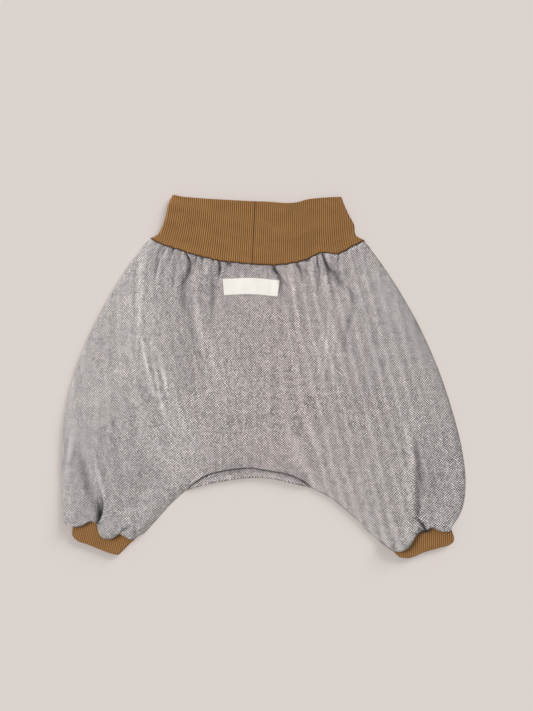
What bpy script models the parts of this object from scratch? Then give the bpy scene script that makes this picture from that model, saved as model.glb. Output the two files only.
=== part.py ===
"""Baby's knickerbockers laid flat: a gathered woven body with a rib-knit waistband and leg cuffs.

The garment lies on the plane z = 0 with its waist towards +Y. Left and right are as seen from
above. Every size below is in millimetres; solid() turns them into metres.
"""

import math

import bmesh
import bpy
import numpy as np
from mathutils import Vector
from mathutils.bvhtree import BVHTree

METRES = 0.001

# The middle of the whole outline, which becomes the part's origin
MIDDLE = (-0.28, -0.3, 0.0)

# Cloth and knit walls
CLOTH = 1.2
RIB_KNIT = 1.6
LABEL_CLOTH = 1.0
SEAM_GAP = 0.3
SEAM_SLOPE_MARGIN = 0.1
WAIST_HOLLOW = 0.8
CUFF_HOLLOW = 0.5
RIB_PITCH = 1.85
RIB_RAISE = 0.45

# Heights of the upper panel's mid surface
EDGE_HEIGHT = CLOTH + SEAM_GAP + CLOTH / 2
WAIST_HEIGHT = 1.5 * RIB_KNIT + WAIST_HOLLOW
BODY_HEIGHT = 5.4
CUFF_TOP = 2 * RIB_KNIT + CUFF_HOLLOW + RIB_RAISE
TUCK_HEIGHT = CUFF_TOP + SEAM_GAP + CLOTH / 2

# How fast the upper panel rises from each of its edges
SIDE_RISE = 5.5
WAIST_RISE = 6.0
CROTCH_RISE = 10.0
HEM_RISE = 40.0
HEM_CORNER = 8.0
INSEAM_LIFT = 3.4
INSEAM_LIFT_REACH = 11.0
LEFT_CORNER_LIFT = 2.0
RIGHT_CORNER_LIFT = 3.6
CORNER_LIFT_REACH = 13.0
WAIST_BULGE = 1.3
WAIST_BULGE_PLACE = 4.0

# The fold that the lower panel makes round the crotch edge
FOLD_RADIUS = 1.3
FOLD_START = 2.9
FOLD_WHOLE = 4.6
STRIP_MARGIN = 0.15
STRIP_START = FOLD_RADIUS + CLOTH / 2 + SEAM_GAP + STRIP_MARGIN

# The rim of a panel: how long its turned part and its flat part are where it does not turn
RIM_TURN = 0.9
RIM_FLAT = 0.6
NEARLY_TURNED = 0.8
HEM_TUCK = 4.0
RIM_TURN_ROWS = 4

# A hem turns right under where it stands this much above its tuck, and not at all at the lower value
TURN_START = 0.5
TURN_WHOLE = 1.7
LEAST_DROP = 0.8

# How far a leg's straight direction is kept past its corners, and the columns that smooth the rest
CORNER_BLEND = 6.0
FRONT_WINDOW = 3
BACK_WINDOW = 1

# Shares of the panel's width that each leg's hem takes, and the columns of points across them
HEM_SHARE = 0.2
FRONT_COLUMNS = (26, 50, 24)
BACK_COLUMNS = (10, 26, 10)
FRONT_ROWS = (0, 0.012, 0.03, 0.055, 0.09, 0.14, 0.21, 0.3, 0.41, 0.53, 0.65, 0.76, 0.86, 0.94, 1)
BACK_ROWS = (0, 0.15, 0.3, 0.45, 0.6, 0.75, 0.88, 1)

# Outlines as (x, y), seen from above
WAIST_SEAM = [
    (-101.6, 123.9), (-94.1, 121.1), (-64.4, 110.7), (-21.2, 101.7), (15.8, 99.9),
    (40.0, 104.8), (51.8, 110.5), (66.2, 109.4), (81.5, 116.7), (90.5, 121.7),
]
LEFT_SIDE = [
    (-101.6, 123.9), (-119.3, 100.8), (-143.6, 58.5), (-164.3, 14.4), (-176.4, -28.8),
    (-181.4, -72.0), (-181.4, -102.6), (-179.2, -130.8),
]
RIGHT_SIDE = [
    (90.5, 121.7), (105.8, 100.8), (132.8, 57.6), (153.5, 14.4), (168.8, -28.8),
    (178.7, -72.0), (181.4, -97.2), (177.8, -124.2), (167.9, -139.5),
]
LEFT_HEM = [
    (-179.2, -130.8), (-175.1, -134.5), (-170.6, -135.5), (-163.4, -134.5), (-153.9, -130.5),
    (-149.5, -133.2), (-147.7, -140.4), (-144.1, -144.9), (-139.1, -146.3), (-133.2, -144.5),
    (-129.2, -141.7), (-125.0, -143.7), (-119.4, -146.4), (-115.5, -146.2), (-112.5, -143.1),
]
RIGHT_HEM = [
    (116.6, -157.2), (123.3, -157.5), (129.5, -154.4), (133.7, -149.0), (137.3, -142.7),
    (141.8, -139.5), (146.3, -140.1), (150.2, -136.2), (155.3, -137.7), (162.5, -139.9),
    (167.9, -139.5),
]
CROTCH_SEAM = [
    (-112.5, -143.1), (-107.6, -141.3), (-101.3, -135.0), (-80.6, -112.5), (-72.7, -105.3),
    (-62.6, -96.6), (-51.8, -89.6), (-40.5, -86.2), (-25.7, -83.7), (-10.0, -82.7),
    (3.2, -85.1), (19.4, -87.8), (30.2, -91.4), (38.0, -96.0), (44.6, -101.3),
    (55.4, -106.7), (76.1, -122.4), (97.7, -143.1), (108.5, -152.1), (116.6, -157.2),
]
CROTCH_EDGE = [
    (-107.6, -141.0), (-101.3, -135.0), (-80.6, -112.5), (-69.8, -103.5), (-53.6, -97.7),
    (-32.0, -93.4), (-10.4, -90.9), (4.1, -91.4), (22.1, -95.4), (43.7, -101.1),
    (55.4, -106.7), (76.1, -122.4), (104.0, -147.6),
]

# The lower panel ends along each cuff: share of the hem's columns, x, y
BACK_LEFT_HEM = [(0.0, -177.2, -125.5), (0.3, -161.0, -115.5), (0.9, -111.6, -138.4), (1.0, -107.6, -141.0)]
BACK_RIGHT_HEM = [(0.0, 104.0, -147.6), (0.2, 111.7, -136.2), (0.8, 161.9, -123.6), (1.0, 172.8, -127.6)]
BACK_SIDE_INSET = 1.5
BACK_SEAM_INSET = 0.4

# Height of the upper panel along each hem, lobes and pinches in turn: x, height
LEFT_LOBES = [(-179.2, 7.4), (-169.0, 8.6), (-151.5, 6.7), (-140.0, 9.6), (-129.2, 7.6), (-118.0, 8.8)]
RIGHT_LOBES = [(118.0, 8.6), (127.0, 9.4), (146.5, 6.9), (158.0, 8.8), (167.9, 7.6)]

# Gathers at the waist seam: x at the seam, depth, width, reach down the panel, lean along the reach
PUCKERS = [
    (-96.0, 0.5, 1.9, 6.0, -1.0),
    (-89.6, 0.8, 2.0, 8.0, -1.0),
    (-81.5, 1.0, 2.0, 10.0, 0.0),
    (-74.3, 0.6, 2.0, 7.0, 0.0),
    (-67.5, 2.2, 2.2, 24.0, -3.0),
    (-59.9, 0.9, 1.9, 7.0, 0.0),
    (-53.0, 0.8, 1.9, 7.0, 1.0),
    (-45.5, 0.8, 1.9, 6.0, 0.0),
    (-38.7, 1.9, 2.0, 14.0, 1.5),
    (-29.8, 0.9, 2.0, 8.0, 0.0),
    (-20.3, 0.5, 2.2, 5.0, 0.0),
    (-10.0, 0.4, 2.2, 5.0, 0.0),
    (0.0, 0.5, 2.2, 6.0, 0.0),
    (10.5, 1.9, 2.0, 13.0, 6.0),
    (20.7, 0.9, 2.0, 8.0, 1.0),
    (29.6, 1.0, 2.0, 9.0, 1.0),
    (39.2, 1.0, 2.0, 9.0, 1.0),
    (48.0, 1.8, 2.0, 14.0, 0.0),
    (53.8, 2.1, 2.1, 20.0, 7.0),
    (67.0, 0.7, 2.2, 7.0, 0.0),
    (75.0, 0.5, 2.2, 6.0, 0.0),
    (84.2, 0.6, 2.0, 6.0, 1.0),
]
PUCKER_AT_SEAM = 0.4
PUCKER_RISE = 3.0
PUCKER_LEAN_END = 1.5

# Soft folds: x and y of start, bend and end, then width and height, below zero for a trough
FOLDS = [
    ((-109.0, 103.0), (-112.0, 45.0), (-60.0, -60.0), 10.0, 1.5),
    ((-70.0, 93.0), (-88.0, 30.0), (-42.0, -55.0), 9.0, -1.9),
    ((-61.0, 92.0), (-62.0, 45.0), (-40.0, -8.0), 5.0, 1.2),
    ((53.0, 104.0), (66.0, 92.0), (72.0, 74.0), 5.0, -1.7),
    ((79.0, 70.0), (73.0, 45.0), (51.0, 12.0), 5.0, 1.2),
    ((27.0, 84.0), (30.0, 58.0), (31.0, 30.0), 4.0, 0.7),
    ((-50.0, 92.0), (-54.0, 68.0), (-44.0, 48.0), 3.5, -0.8),
    ((-150.5, -131.0), (-156.0, -108.0), (-166.0, -76.0), 5.0, -2.2),
    ((-142.0, -118.0), (-150.0, -94.0), (-160.0, -70.0), 5.0, 1.0),
    ((-122.0, -136.0), (-124.0, -115.0), (-134.0, -82.0), 7.0, -0.9),
    ((144.0, -133.0), (137.5, -104.0), (136.0, -64.0), 5.5, -2.2),
    ((130.0, -120.0), (131.0, -90.0), (131.0, -50.0), 6.0, 0.8),
]
FOLD_SAMPLES = 14
FOLD_END_SHARE = 0.06

# Waistband outline above the waist seam
WAIST_TOP = [(-81.5, 163.0), (-75.2, 161.6), (-59.0, 160.0), (-32.0, 158.3), (0.5, 156.8),
             (32.9, 156.8), (37.8, 158.4), (49.1, 159.9), (69.9, 161.1)]
WAIST_LEFT = [(-81.5, 163.0), (-85.4, 153.9), (-86.9, 144.2), (-89.6, 135.4), (-93.6, 127.6),
              (-101.0, 124.3)]
WAIST_RIGHT = [(69.9, 161.1), (72.9, 152.6), (77.4, 142.8), (80.4, 136.9), (82.0, 127.0), (90.0, 122.2)]
WING = 0.004
WAIST_ROWS = (0, 0.035, 0.35, 0.66, 0.86, 1)
JOIN_SHARE = 0.487
JOIN_WIDTH = 0.7

# Cuff outlines: hidden seam end first, free end last
CUFF_ROWS = (0, 0.35, 0.7, 0.95, 1)
CUFFS = {
    "cuff_left": {
        "seam": [(-160.7, -116.1), (-136.4, -127.3), (-112.1, -138.6)],
        "free": [(-171.5, -142.2), (-166.5, -147.8), (-158.9, -151.0), (-145.6, -156.3),
                 (-135.5, -159.9), (-130.1, -160.8)],
        "left": [(-160.7, -116.1), (-167.9, -127.8), (-171.5, -142.2)],
        "right": [(-112.1, -138.6), (-113.9, -144.5), (-120.2, -150.8), (-130.1, -160.8)],
    },
    "cuff_right": {
        "seam": [(112.1, -136.8), (136.9, -130.5), (161.6, -124.2)],
        "free": [(122.0, -162.9), (129.5, -163.6), (145.0, -158.1), (159.8, -153.9),
                 (168.0, -151.6), (171.0, -147.6)],
        "left": [(112.1, -136.8), (113.2, -148.5), (116.4, -156.9), (122.0, -162.9)],
        "right": [(161.6, -124.2), (167.0, -135.9), (171.0, -147.6)],
    },
}
EDGE_ROUNDING = 0.5
FOLD_POINTS = 3
FOLD_LOOP_SHARE = 0.01
TUBE_SAMPLES = 181
OUTLINE_SAMPLES = 401
WAIST_PLAIN_POINTS = 40
CUFF_PLAIN_POINTS = 10

# Label outline: upper edge left to right, lower edge left to right
LABEL_TOP = [(-35.9, 87.2), (-11.2, 88.0), (14.5, 85.8)]
LABEL_BOTTOM = [(-35.0, 72.3), (-11.2, 73.1), (13.1, 71.1)]
LABEL_COLUMNS = 14
LABEL_LINES = 4
ABOVE_ALL = 0.1

SHARP_ANGLE = math.radians(50)

# Colours as seen in daylight, with how rough each cloth is
WOVEN = ((0.66, 0.63, 0.62), 0.9)
RIB = ((0.54, 0.40, 0.26), 0.9)
SATIN = ((0.95, 0.93, 0.90), 0.6)


def curve_through(points, shares):
    """Points of one smooth curve through the given points, at shares of its length."""
    knots = np.array(points, float)
    steps = np.linalg.norm(np.diff(knots, axis=0), axis=1)
    at = np.concatenate([[0.0], np.cumsum(steps)]) / steps.sum()
    slopes = np.gradient(knots, at, axis=0)
    shares = np.clip(np.asarray(shares, float), 0, 1)
    first = np.clip(np.searchsorted(at, shares, side="right") - 1, 0, len(at) - 2)
    span = (at[first + 1] - at[first])[:, None]
    q = (shares - at[first])[:, None] / span
    return (
        (1 + 2 * q) * (1 - q) ** 2 * knots[first]
        + q * (1 - q) ** 2 * span * slopes[first]
        + q**2 * (3 - 2 * q) * knots[first + 1]
        + q**2 * (q - 1) * span * slopes[first + 1]
    )


def smooth_step(value):
    value = np.clip(value, 0, 1)
    return value * value * (3 - 2 * value)


def eased_table(x, rows):
    """Reads a table of (x, value) rows, easing in and out of each row."""
    places, values = np.array(rows, float).T
    after = np.clip(np.searchsorted(places, x), 1, len(places) - 1)
    share = (x - places[after - 1]) / (places[after] - places[after - 1])
    return values[after - 1] + (values[after] - values[after - 1]) * smooth_step(share)


def fit_ends(line, start, end, shares):
    """Shifts a line of points a little, so that it starts and ends at the given points."""
    shares = np.asarray(shares, float)[:, None]
    return line + (1 - shares) * (start - line[0]) + shares * (end - line[-1])


def patch(top, bottom, left, right, across, down):
    """Fills four edges with a grid of points, in rows from the top edge to the bottom one."""
    left = fit_ends(left, top[0], bottom[0], down)
    right = fit_ends(right, top[-1], bottom[-1], down)
    u = np.asarray(across, float)[None, :, None]
    v = np.asarray(down, float)[:, None, None]
    ruled = (1 - v) * top[None] + v * bottom[None]
    sides = (1 - u) * left[:, None] + u * right[:, None]
    corners = (1 - v) * ((1 - u) * top[0] + u * top[-1]) + v * ((1 - u) * bottom[0] + u * bottom[-1])
    return ruled + sides - corners


def columns(counts):
    """Shares across a panel: the left hem, the crotch and the right hem each have their own count."""
    left, middle, right = counts
    return np.concatenate([
        np.linspace(0, HEM_SHARE, left, endpoint=False),
        np.linspace(HEM_SHARE, 1 - HEM_SHARE, middle, endpoint=False),
        np.linspace(1 - HEM_SHARE, 1, right + 1),
    ])


def bent_line(rows, shares):
    """Points of a line that is straight between its rows of (share, x, y)."""
    at, x, y = np.array(rows).T
    return np.stack([np.interp(shares, at, x), np.interp(shares, at, y)], axis=1)


def lower_edge(left_hem, crotch, right_hem, across, hem_line):
    """The lower outline of a panel at each column, and which columns are on each leg's hem."""
    on_left = across < HEM_SHARE
    on_right = across >= 1 - HEM_SHARE
    middle = ~on_left & ~on_right
    edge = np.empty((len(across), 2))
    edge[on_left] = hem_line(left_hem, across[on_left] / HEM_SHARE)
    edge[middle] = curve_through(crotch, (across[middle] - HEM_SHARE) / (1 - 2 * HEM_SHARE))
    edge[on_right] = hem_line(right_hem, (across[on_right] - 1 + HEM_SHARE) / HEM_SHARE)
    return edge, on_left, on_right


def outward(edge, window):
    """Level directions that point out of the lower edge, smoothed over some columns."""
    ahead = np.minimum(np.arange(len(edge)) + window, len(edge) - 1)
    behind = np.maximum(np.arange(len(edge)) - window, 0)
    along = edge[ahead] - edge[behind]
    normal = np.stack([along[:, 1], -along[:, 0]], axis=1)
    return normal / np.linalg.norm(normal, axis=1)[:, None]


def share_nearest(outline, point):
    """The share of a smooth outline's length at which it passes nearest to a point."""
    shares = np.linspace(0, 1, OUTLINE_SAMPLES)
    return shares[np.linalg.norm(curve_through(outline, shares) - point, axis=1).argmin()]


def distance_to(points, outline):
    """How far each point lies from a smooth outline."""
    line = curve_through(outline, np.linspace(0, 1, OUTLINE_SAMPLES))
    return np.linalg.norm(points[:, None] - line[None], axis=2).min(axis=1)


def chord_direction(hem):
    start, end = np.array(hem[0]), np.array(hem[-1])
    along = (end - start) / np.linalg.norm(end - start)
    return np.array([along[1], -along[0]])


def rim(turn, radius, flat):
    """A rim that turns through an angle and then runs flat, column by column.

    Gives how far out and how far down each of its rows lies, and each row's angle."""
    turned = np.maximum(radius * turn, RIM_TURN) / RIM_TURN_ROWS
    whole = smooth_step((turn / math.pi - NEARLY_TURNED) / (1 - NEARLY_TURNED))
    flat = RIM_FLAT + np.maximum(flat - RIM_FLAT, 0) * whole
    out, drop, angle = [np.zeros_like(turn)], [np.zeros_like(turn)], [np.zeros_like(turn)]
    for row in range(RIM_TURN_ROWS):
        heading = turn * (row + 0.5) / RIM_TURN_ROWS
        out.append(out[-1] + turned * np.cos(heading))
        drop.append(drop[-1] + turned * np.sin(heading))
        angle.append(turn * (row + 1) / RIM_TURN_ROWS)
    out.append(out[-1] + flat * np.cos(turn))
    drop.append(drop[-1] + flat * np.sin(turn))
    angle.append(turn)
    return np.array(out), np.array(drop), np.array(angle)


def reach_of(rim_rows):
    """How far the rim's outer face stands out from where the rim starts."""
    out, _, angle = rim_rows
    return (out + CLOTH / 2 * np.sin(angle)).max(axis=0)


def fold_relief(points):
    """Sum of the soft folds at each point."""
    height = np.zeros(points.shape[:-1])
    steps = np.linspace(0, 1, FOLD_SAMPLES)[:, None]
    for start, bend, end, width, rise in FOLDS:
        start, bend, end = np.array(start), np.array(bend), np.array(end)
        path = (1 - steps) ** 2 * start + 2 * steps * (1 - steps) * bend + steps**2 * end
        nearest = np.full(height.shape, np.inf)
        share = np.zeros(height.shape)
        for i in range(FOLD_SAMPLES - 1):
            run = path[i + 1] - path[i]
            on = np.clip((points - path[i]) @ run / (run @ run), 0, 1)
            away = np.linalg.norm(points - path[i] - on[..., None] * run, axis=-1)
            closer = away < nearest
            nearest = np.where(closer, away, nearest)
            share = np.where(closer, (i + on) / (FOLD_SAMPLES - 1), share)
        along = np.sin(math.pi * np.clip(share, FOLD_END_SHARE, 1 - FOLD_END_SHARE))
        height += rise * np.exp(-((nearest / width) ** 2)) * np.sqrt(along)
    return height


def pucker_relief(seam_x, below):
    """Depth of the gathers: seam_x says where a point's column meets the seam, below how far down it is."""
    height = np.zeros(below.shape)
    grown = PUCKER_AT_SEAM + (1 - PUCKER_AT_SEAM) * (1 - np.exp(-below / PUCKER_RISE))
    for place, depth, width, reach, lean in PUCKERS:
        aside = seam_x - place - lean * np.minimum(below / reach, PUCKER_LEAN_END)
        height -= depth * grown * np.exp(-below / reach) * np.exp(-((aside / width) ** 2))
    return height


def panel_height(points, across, seam, hem_weight, lobe, plain_edge):
    """Height of the upper panel's mid surface over a grid of points."""
    rows = np.linalg.norm(np.diff(points, axis=0), axis=2)
    below = np.concatenate([np.zeros((1, len(across))), np.cumsum(rows, axis=0)])
    above = below[-1] - below
    width = np.linalg.norm(points[:, -1] - points[:, 0], axis=1)[:, None]
    to_side = np.minimum(across, 1 - across) * width
    end = plain_edge + (lobe - plain_edge) * hem_weight
    body = BODY_HEIGHT + fold_relief(points)
    from_crotch = 1 - np.exp(-above / CROTCH_RISE)
    risen = from_crotch + hem_weight * (smooth_step(above / HEM_RISE) - from_crotch)
    height = end + (body - end) * risen
    height = WAIST_HEIGHT + (height - WAIST_HEIGHT) * (1 - np.exp(-below / WAIST_RISE))
    bulge = below / WAIST_BULGE_PLACE
    height += pucker_relief(seam[:, 0], below) + WAIST_BULGE * bulge * np.exp(1 - bulge)
    lift = np.where(across < 0.5, LEFT_CORNER_LIFT, RIGHT_CORNER_LIFT)
    side = EDGE_HEIGHT + lift * np.exp(-((above / CORNER_LIFT_REACH) ** 2))
    height = side + (height - side) * (1 - np.exp(-to_side / SIDE_RISE))
    return np.maximum(height, EDGE_HEIGHT)


def walls(mid, facing, wall):
    """Outer and inner points of a wall, half its thickness to each side of the mid surface."""
    return mid + wall / 2 * facing, mid - wall / 2 * facing


def sheet_mesh(outer, inner):
    """Vertices and faces of a closed wall between two grids of the same size."""
    lines, count = outer.shape[:2]
    vertices = np.concatenate([outer.reshape(-1, 3), inner.reshape(-1, 3)])
    below = lines * count
    faces = []
    for j in range(lines - 1):
        for i in range(count - 1):
            a = j * count + i
            faces.append((a, a + 1, a + count + 1, a + count))
            faces.append((below + a, below + a + count, below + a + count + 1, below + a + 1))
    border = list(range(count))
    border += [j * count + count - 1 for j in range(1, lines)]
    border += [(lines - 1) * count + i for i in range(count - 2, -1, -1)]
    border += [j * count for j in range(lines - 2, 0, -1)]
    for a, b in zip(border, border[1:] + border[:1]):
        faces.append((a, below + a, below + b, b))
    return vertices, faces


def linear_colour(colour):
    return [c / 12.92 if c < 0.04045 else ((c + 0.055) / 1.055) ** 2.4 for c in colour] + [1.0]


def material(name, look):
    colour, roughness = look
    made = bpy.data.materials.new(name)
    made.use_nodes = True
    shader = made.node_tree.nodes["Principled BSDF"]
    shader.inputs["Base Color"].default_value = linear_colour(colour)
    shader.inputs["Roughness"].default_value = roughness
    shader.inputs["Metallic"].default_value = 0.0
    return made


def solid(name, vertices, faces, look):
    """One object from points in millimetres, its faces turned to point out."""
    mesh = bpy.data.meshes.new(name)
    mesh.from_pydata(((np.asarray(vertices) - MIDDLE) * METRES).tolist(), [], faces)
    turned = bmesh.new()
    turned.from_mesh(mesh)
    bmesh.ops.recalc_face_normals(turned, faces=turned.faces)
    turned.to_mesh(mesh)
    turned.free()
    mesh.shade_smooth()
    mesh.set_sharp_from_angle(angle=SHARP_ANGLE)
    piece = bpy.data.objects.new(name, mesh)
    piece.data.materials.append(material(name + "_cloth", look))
    bpy.context.scene.collection.objects.link(piece)
    return piece


def hem_corner_weight(edge, span):
    """How far a hem's lobes have grown at each of its columns, from either corner."""
    part = edge[span]
    steps = np.linalg.norm(np.diff(part, axis=0), axis=1)
    along = np.concatenate([[0.0], np.cumsum(steps)])
    return smooth_step(np.minimum(along, along[-1] - along) / HEM_CORNER)


def front_panel():
    across = columns(FRONT_COLUMNS)
    seam = curve_through(WAIST_SEAM, across)
    edge, on_left, on_right = lower_edge(LEFT_HEM, CROTCH_SEAM, RIGHT_HEM, across, curve_through)
    weight = np.zeros(len(across))
    weight[on_left] = hem_corner_weight(edge, on_left)
    weight[on_right] = hem_corner_weight(edge, on_right)
    lobe = np.where(
        across < 0.5, eased_table(edge[:, 0], LEFT_LOBES), eased_table(edge[:, 0], RIGHT_LOBES)
    )
    strip = distance_to(edge, CROTCH_EDGE) * ~(on_left | on_right)
    in_strip = smooth_step((strip - FOLD_START) / (FOLD_WHOLE - FOLD_START))
    corners = np.array([LEFT_HEM[-1], RIGHT_HEM[0]])
    from_corner = np.linalg.norm(edge[:, None] - corners[None], axis=2).min(axis=1)
    plain = EDGE_HEIGHT + in_strip * (CLOTH / 2 + 2 * FOLD_RADIUS - EDGE_HEIGHT)
    plain = plain + INSEAM_LIFT * np.exp(-((from_corner / INSEAM_LIFT_REACH) ** 2))
    left = curve_through(LEFT_SIDE, FRONT_ROWS)
    right = curve_through(RIGHT_SIDE, FRONT_ROWS)

    def laid(bottom):
        points = patch(seam, bottom, left, right, across, FRONT_ROWS)
        return points, panel_height(points, across, seam, weight, lobe, plain)

    end = laid(edge)[1][-1]
    above_tuck = end - TUCK_HEIGHT
    turned = smooth_step((above_tuck - TURN_START) / (TURN_WHOLE - TURN_START))
    turn = math.pi * turned * (on_left | on_right)
    radius = np.maximum(above_tuck, LEAST_DROP) / 2
    rim_rows = rim(turn, radius, HEM_TUCK * weight)

    out = outward(edge, FRONT_WINDOW)
    towards = np.where(across[:, None] < 0.5, chord_direction(LEFT_HEM), chord_direction(RIGHT_HEM))
    mostly = np.where(on_left | on_right, 1.0, np.exp(-from_corner / CORNER_BLEND))[:, None]
    out = mostly * towards + (1 - mostly) * out
    out /= np.linalg.norm(out, axis=1)[:, None]
    bottom = edge - out * reach_of(rim_rows)[:, None]

    points, height = laid(bottom)
    mid = np.concatenate([points, height[..., None]], axis=2)
    facing = np.zeros_like(mid)
    facing[..., 2] = 1
    spread, drop, angle = (rows[1:] for rows in rim_rows)
    rim_mid = np.concatenate([
        bottom[None] + spread[..., None] * out[None],
        (height[-1][None] - drop)[..., None],
    ], axis=2)
    rim_facing = np.concatenate([
        np.sin(angle)[..., None] * out[None], np.cos(angle)[..., None],
    ], axis=2)
    mid = np.concatenate([mid, rim_mid])
    facing = np.concatenate([facing, rim_facing])
    outer, inner = walls(mid, facing, CLOTH)
    vertices, faces = sheet_mesh(outer, inner)
    return solid("front_panel", vertices, faces, WOVEN)


def back_panel():
    across = columns(BACK_COLUMNS)
    seam = curve_through(WAIST_SEAM, across)
    edge, on_left, on_right = lower_edge(BACK_LEFT_HEM, CROTCH_EDGE, BACK_RIGHT_HEM, across, bent_line)
    strip = distance_to(edge, CROTCH_SEAM) * ~(on_left | on_right)
    turn = math.pi * smooth_step((strip - FOLD_START) / (FOLD_WHOLE - FOLD_START))
    rim_rows = rim(turn, np.full(len(across), FOLD_RADIUS), strip - STRIP_START)
    out = outward(edge, BACK_WINDOW)
    bottom = edge - out * reach_of(rim_rows)[:, None]
    down = np.array(BACK_ROWS)
    left = curve_through(LEFT_SIDE, down * share_nearest(LEFT_SIDE, edge[0])) + (BACK_SIDE_INSET, 0)
    right = curve_through(RIGHT_SIDE, down * share_nearest(RIGHT_SIDE, edge[-1])) - (BACK_SIDE_INSET, 0)
    points = patch(seam - (0, BACK_SEAM_INSET), bottom, left, right, across, BACK_ROWS)
    mid = np.concatenate([points, np.full(points.shape[:2] + (1,), CLOTH / 2)], axis=2)
    facing = np.zeros_like(mid)
    facing[..., 2] = -1
    spread, drop, angle = (rows[1:] for rows in rim_rows)
    rim_mid = np.concatenate([
        bottom[None] + spread[..., None] * out[None], (CLOTH / 2 + drop)[..., None],
    ], axis=2)
    rim_facing = np.concatenate([
        np.sin(angle)[..., None] * out[None], -np.cos(angle)[..., None],
    ], axis=2)
    outer, inner = walls(np.concatenate([mid, rim_mid]), np.concatenate([facing, rim_facing]), CLOTH)
    vertices, faces = sheet_mesh(outer, inner)
    return solid("back_panel", vertices, faces, WOVEN)


def loop_stations(top_shares, bottom_shares):
    """Stations round a flattened tube: share across, angle of the side fold, and place in the loop.

    Places run from 0 at the left fold over the top to 0.5 at the right fold and back underneath."""
    quarter = np.linspace(0, math.pi / 2, FOLD_POINTS + 1)
    fold = FOLD_LOOP_SHARE
    stations = [(0.0, angle, fold * angle / math.pi) for angle in quarter[:-1]]
    stations += [(share, math.pi / 2, fold + (0.5 - 2 * fold) * share) for share in top_shares]
    stations += [(1.0, angle, 0.5 - fold * angle / math.pi) for angle in quarter[-2::-1]]
    stations += [(1.0, -angle, 0.5 + fold * angle / math.pi) for angle in quarter[1:-1]]
    back = bottom_shares[::-1]
    stations += [(share, -math.pi / 2, 1 - fold - (0.5 - 2 * fold) * share) for share in back]
    stations += [(0.0, -angle, 1 - fold * angle / math.pi) for angle in quarter[-2:0:-1]]
    return np.array(stations)


def tube_loop(side_left, side_right, across_row, radius, centre, raised, stations):
    """One ring of a flattened tube: flat runs above and below, half-round folds at the sides."""
    ring = []
    width = np.linalg.norm(side_right - side_left)
    for (share, angle, _), lift in zip(stations, raised):
        reach = radius + lift
        aside = centre - reach * math.cos(angle)
        if share == 0.0:
            place = aside / width
        elif share == 1.0:
            place = 1 - aside / width
        else:
            place = centre / width + share * (1 - 2 * centre / width)
        across = across_row(place)
        ring.append((across[0], across[1], centre + reach * math.sin(angle)))
    return ring


def zip_loops(first, first_at, second, second_at):
    """Triangles between two closed loops with different numbers of points."""
    faces = []
    i, j = 0, 0
    while i < len(first) or j < len(second):
        next_first = first_at[i + 1] if i + 1 < len(first) else 1.0 + (i + 1 - len(first))
        next_second = second_at[j + 1] if j + 1 < len(second) else 1.0 + (j + 1 - len(second))
        a, b = first[i % len(first)], second[j % len(second)]
        if j >= len(second) or (i < len(first) and next_first <= next_second):
            faces.append((a, first[(i + 1) % len(first)], b))
            i += 1
        else:
            faces.append((a, second[(j + 1) % len(second)], b))
            j += 1
    return faces


def rib_tube(name, grid, rows, hollow, plain_points, joins):
    """A flattened rib-knit tube: ribs raised on its outer face, plain inside and on its underside.

    grid(shares) gives the points of each row at those shares across."""
    fine = np.linspace(0, 1, TUBE_SAMPLES)
    lines = grid(fine)
    ribs = round(np.linalg.norm(lines[:, -1] - lines[:, 0], axis=1).mean() / RIB_PITCH)
    radius = RIB_KNIT + hollow / 2
    top = np.linspace(0, 1, 2 * ribs + 1)
    plain = np.linspace(0, 1, plain_points)
    outer_stations = loop_stations(top, plain)
    inner_stations = loop_stations(plain, plain)
    on_top = outer_stations[:, 1] > math.pi / 2 - 1e-6
    raised = np.zeros(len(outer_stations))
    raised[on_top] = RIB_RAISE * (np.arange(on_top.sum()) % 2)
    for share in joins:
        near = on_top & (np.abs(outer_stations[:, 0] - share) < JOIN_WIDTH / (2 * ribs))
        raised[near] = -RIB_RAISE
    outer_rings, inner_rings = [], []
    for j, line in enumerate(lines):

        def across_row(place, line=line):
            return np.array([np.interp(place, fine, line[:, 0]), np.interp(place, fine, line[:, 1])])

        rounding = EDGE_ROUNDING if rows[j] in (0, 1) else 0.0
        lift = raised * (1 - rounding) - rounding * (outer_stations[:, 1] > 0)
        outer_rings.append(tube_loop(line[0], line[-1], across_row, radius, radius, lift, outer_stations))
        flat = np.zeros(len(inner_stations))
        inner = tube_loop(line[0], line[-1], across_row, hollow / 2, radius, flat, inner_stations)
        inner_rings.append(inner)
    return tube_solid(name, outer_rings, inner_rings, outer_stations[:, 2], inner_stations[:, 2])


def tube_solid(name, outer_rings, inner_rings, outer_at, inner_at):
    vertices = [point for ring in outer_rings + inner_rings for point in ring]
    count, inside = len(outer_rings[0]), len(inner_rings[0])
    start = len(outer_rings) * count
    faces = []
    for first, size, lines in ((0, count, len(outer_rings)), (start, inside, len(inner_rings))):
        for j in range(lines - 1):
            for i in range(size):
                a = first + j * size + i
                b = first + j * size + (i + 1) % size
                faces.append((a, b, b + size, a + size))
    for line in (0, len(outer_rings) - 1):
        outer = [line * count + i for i in range(count)]
        inner = [start + line * inside + i for i in range(inside)]
        faces += zip_loops(outer, outer_at, inner, inner_at)
    return solid(name, vertices, faces, RIB)


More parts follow.
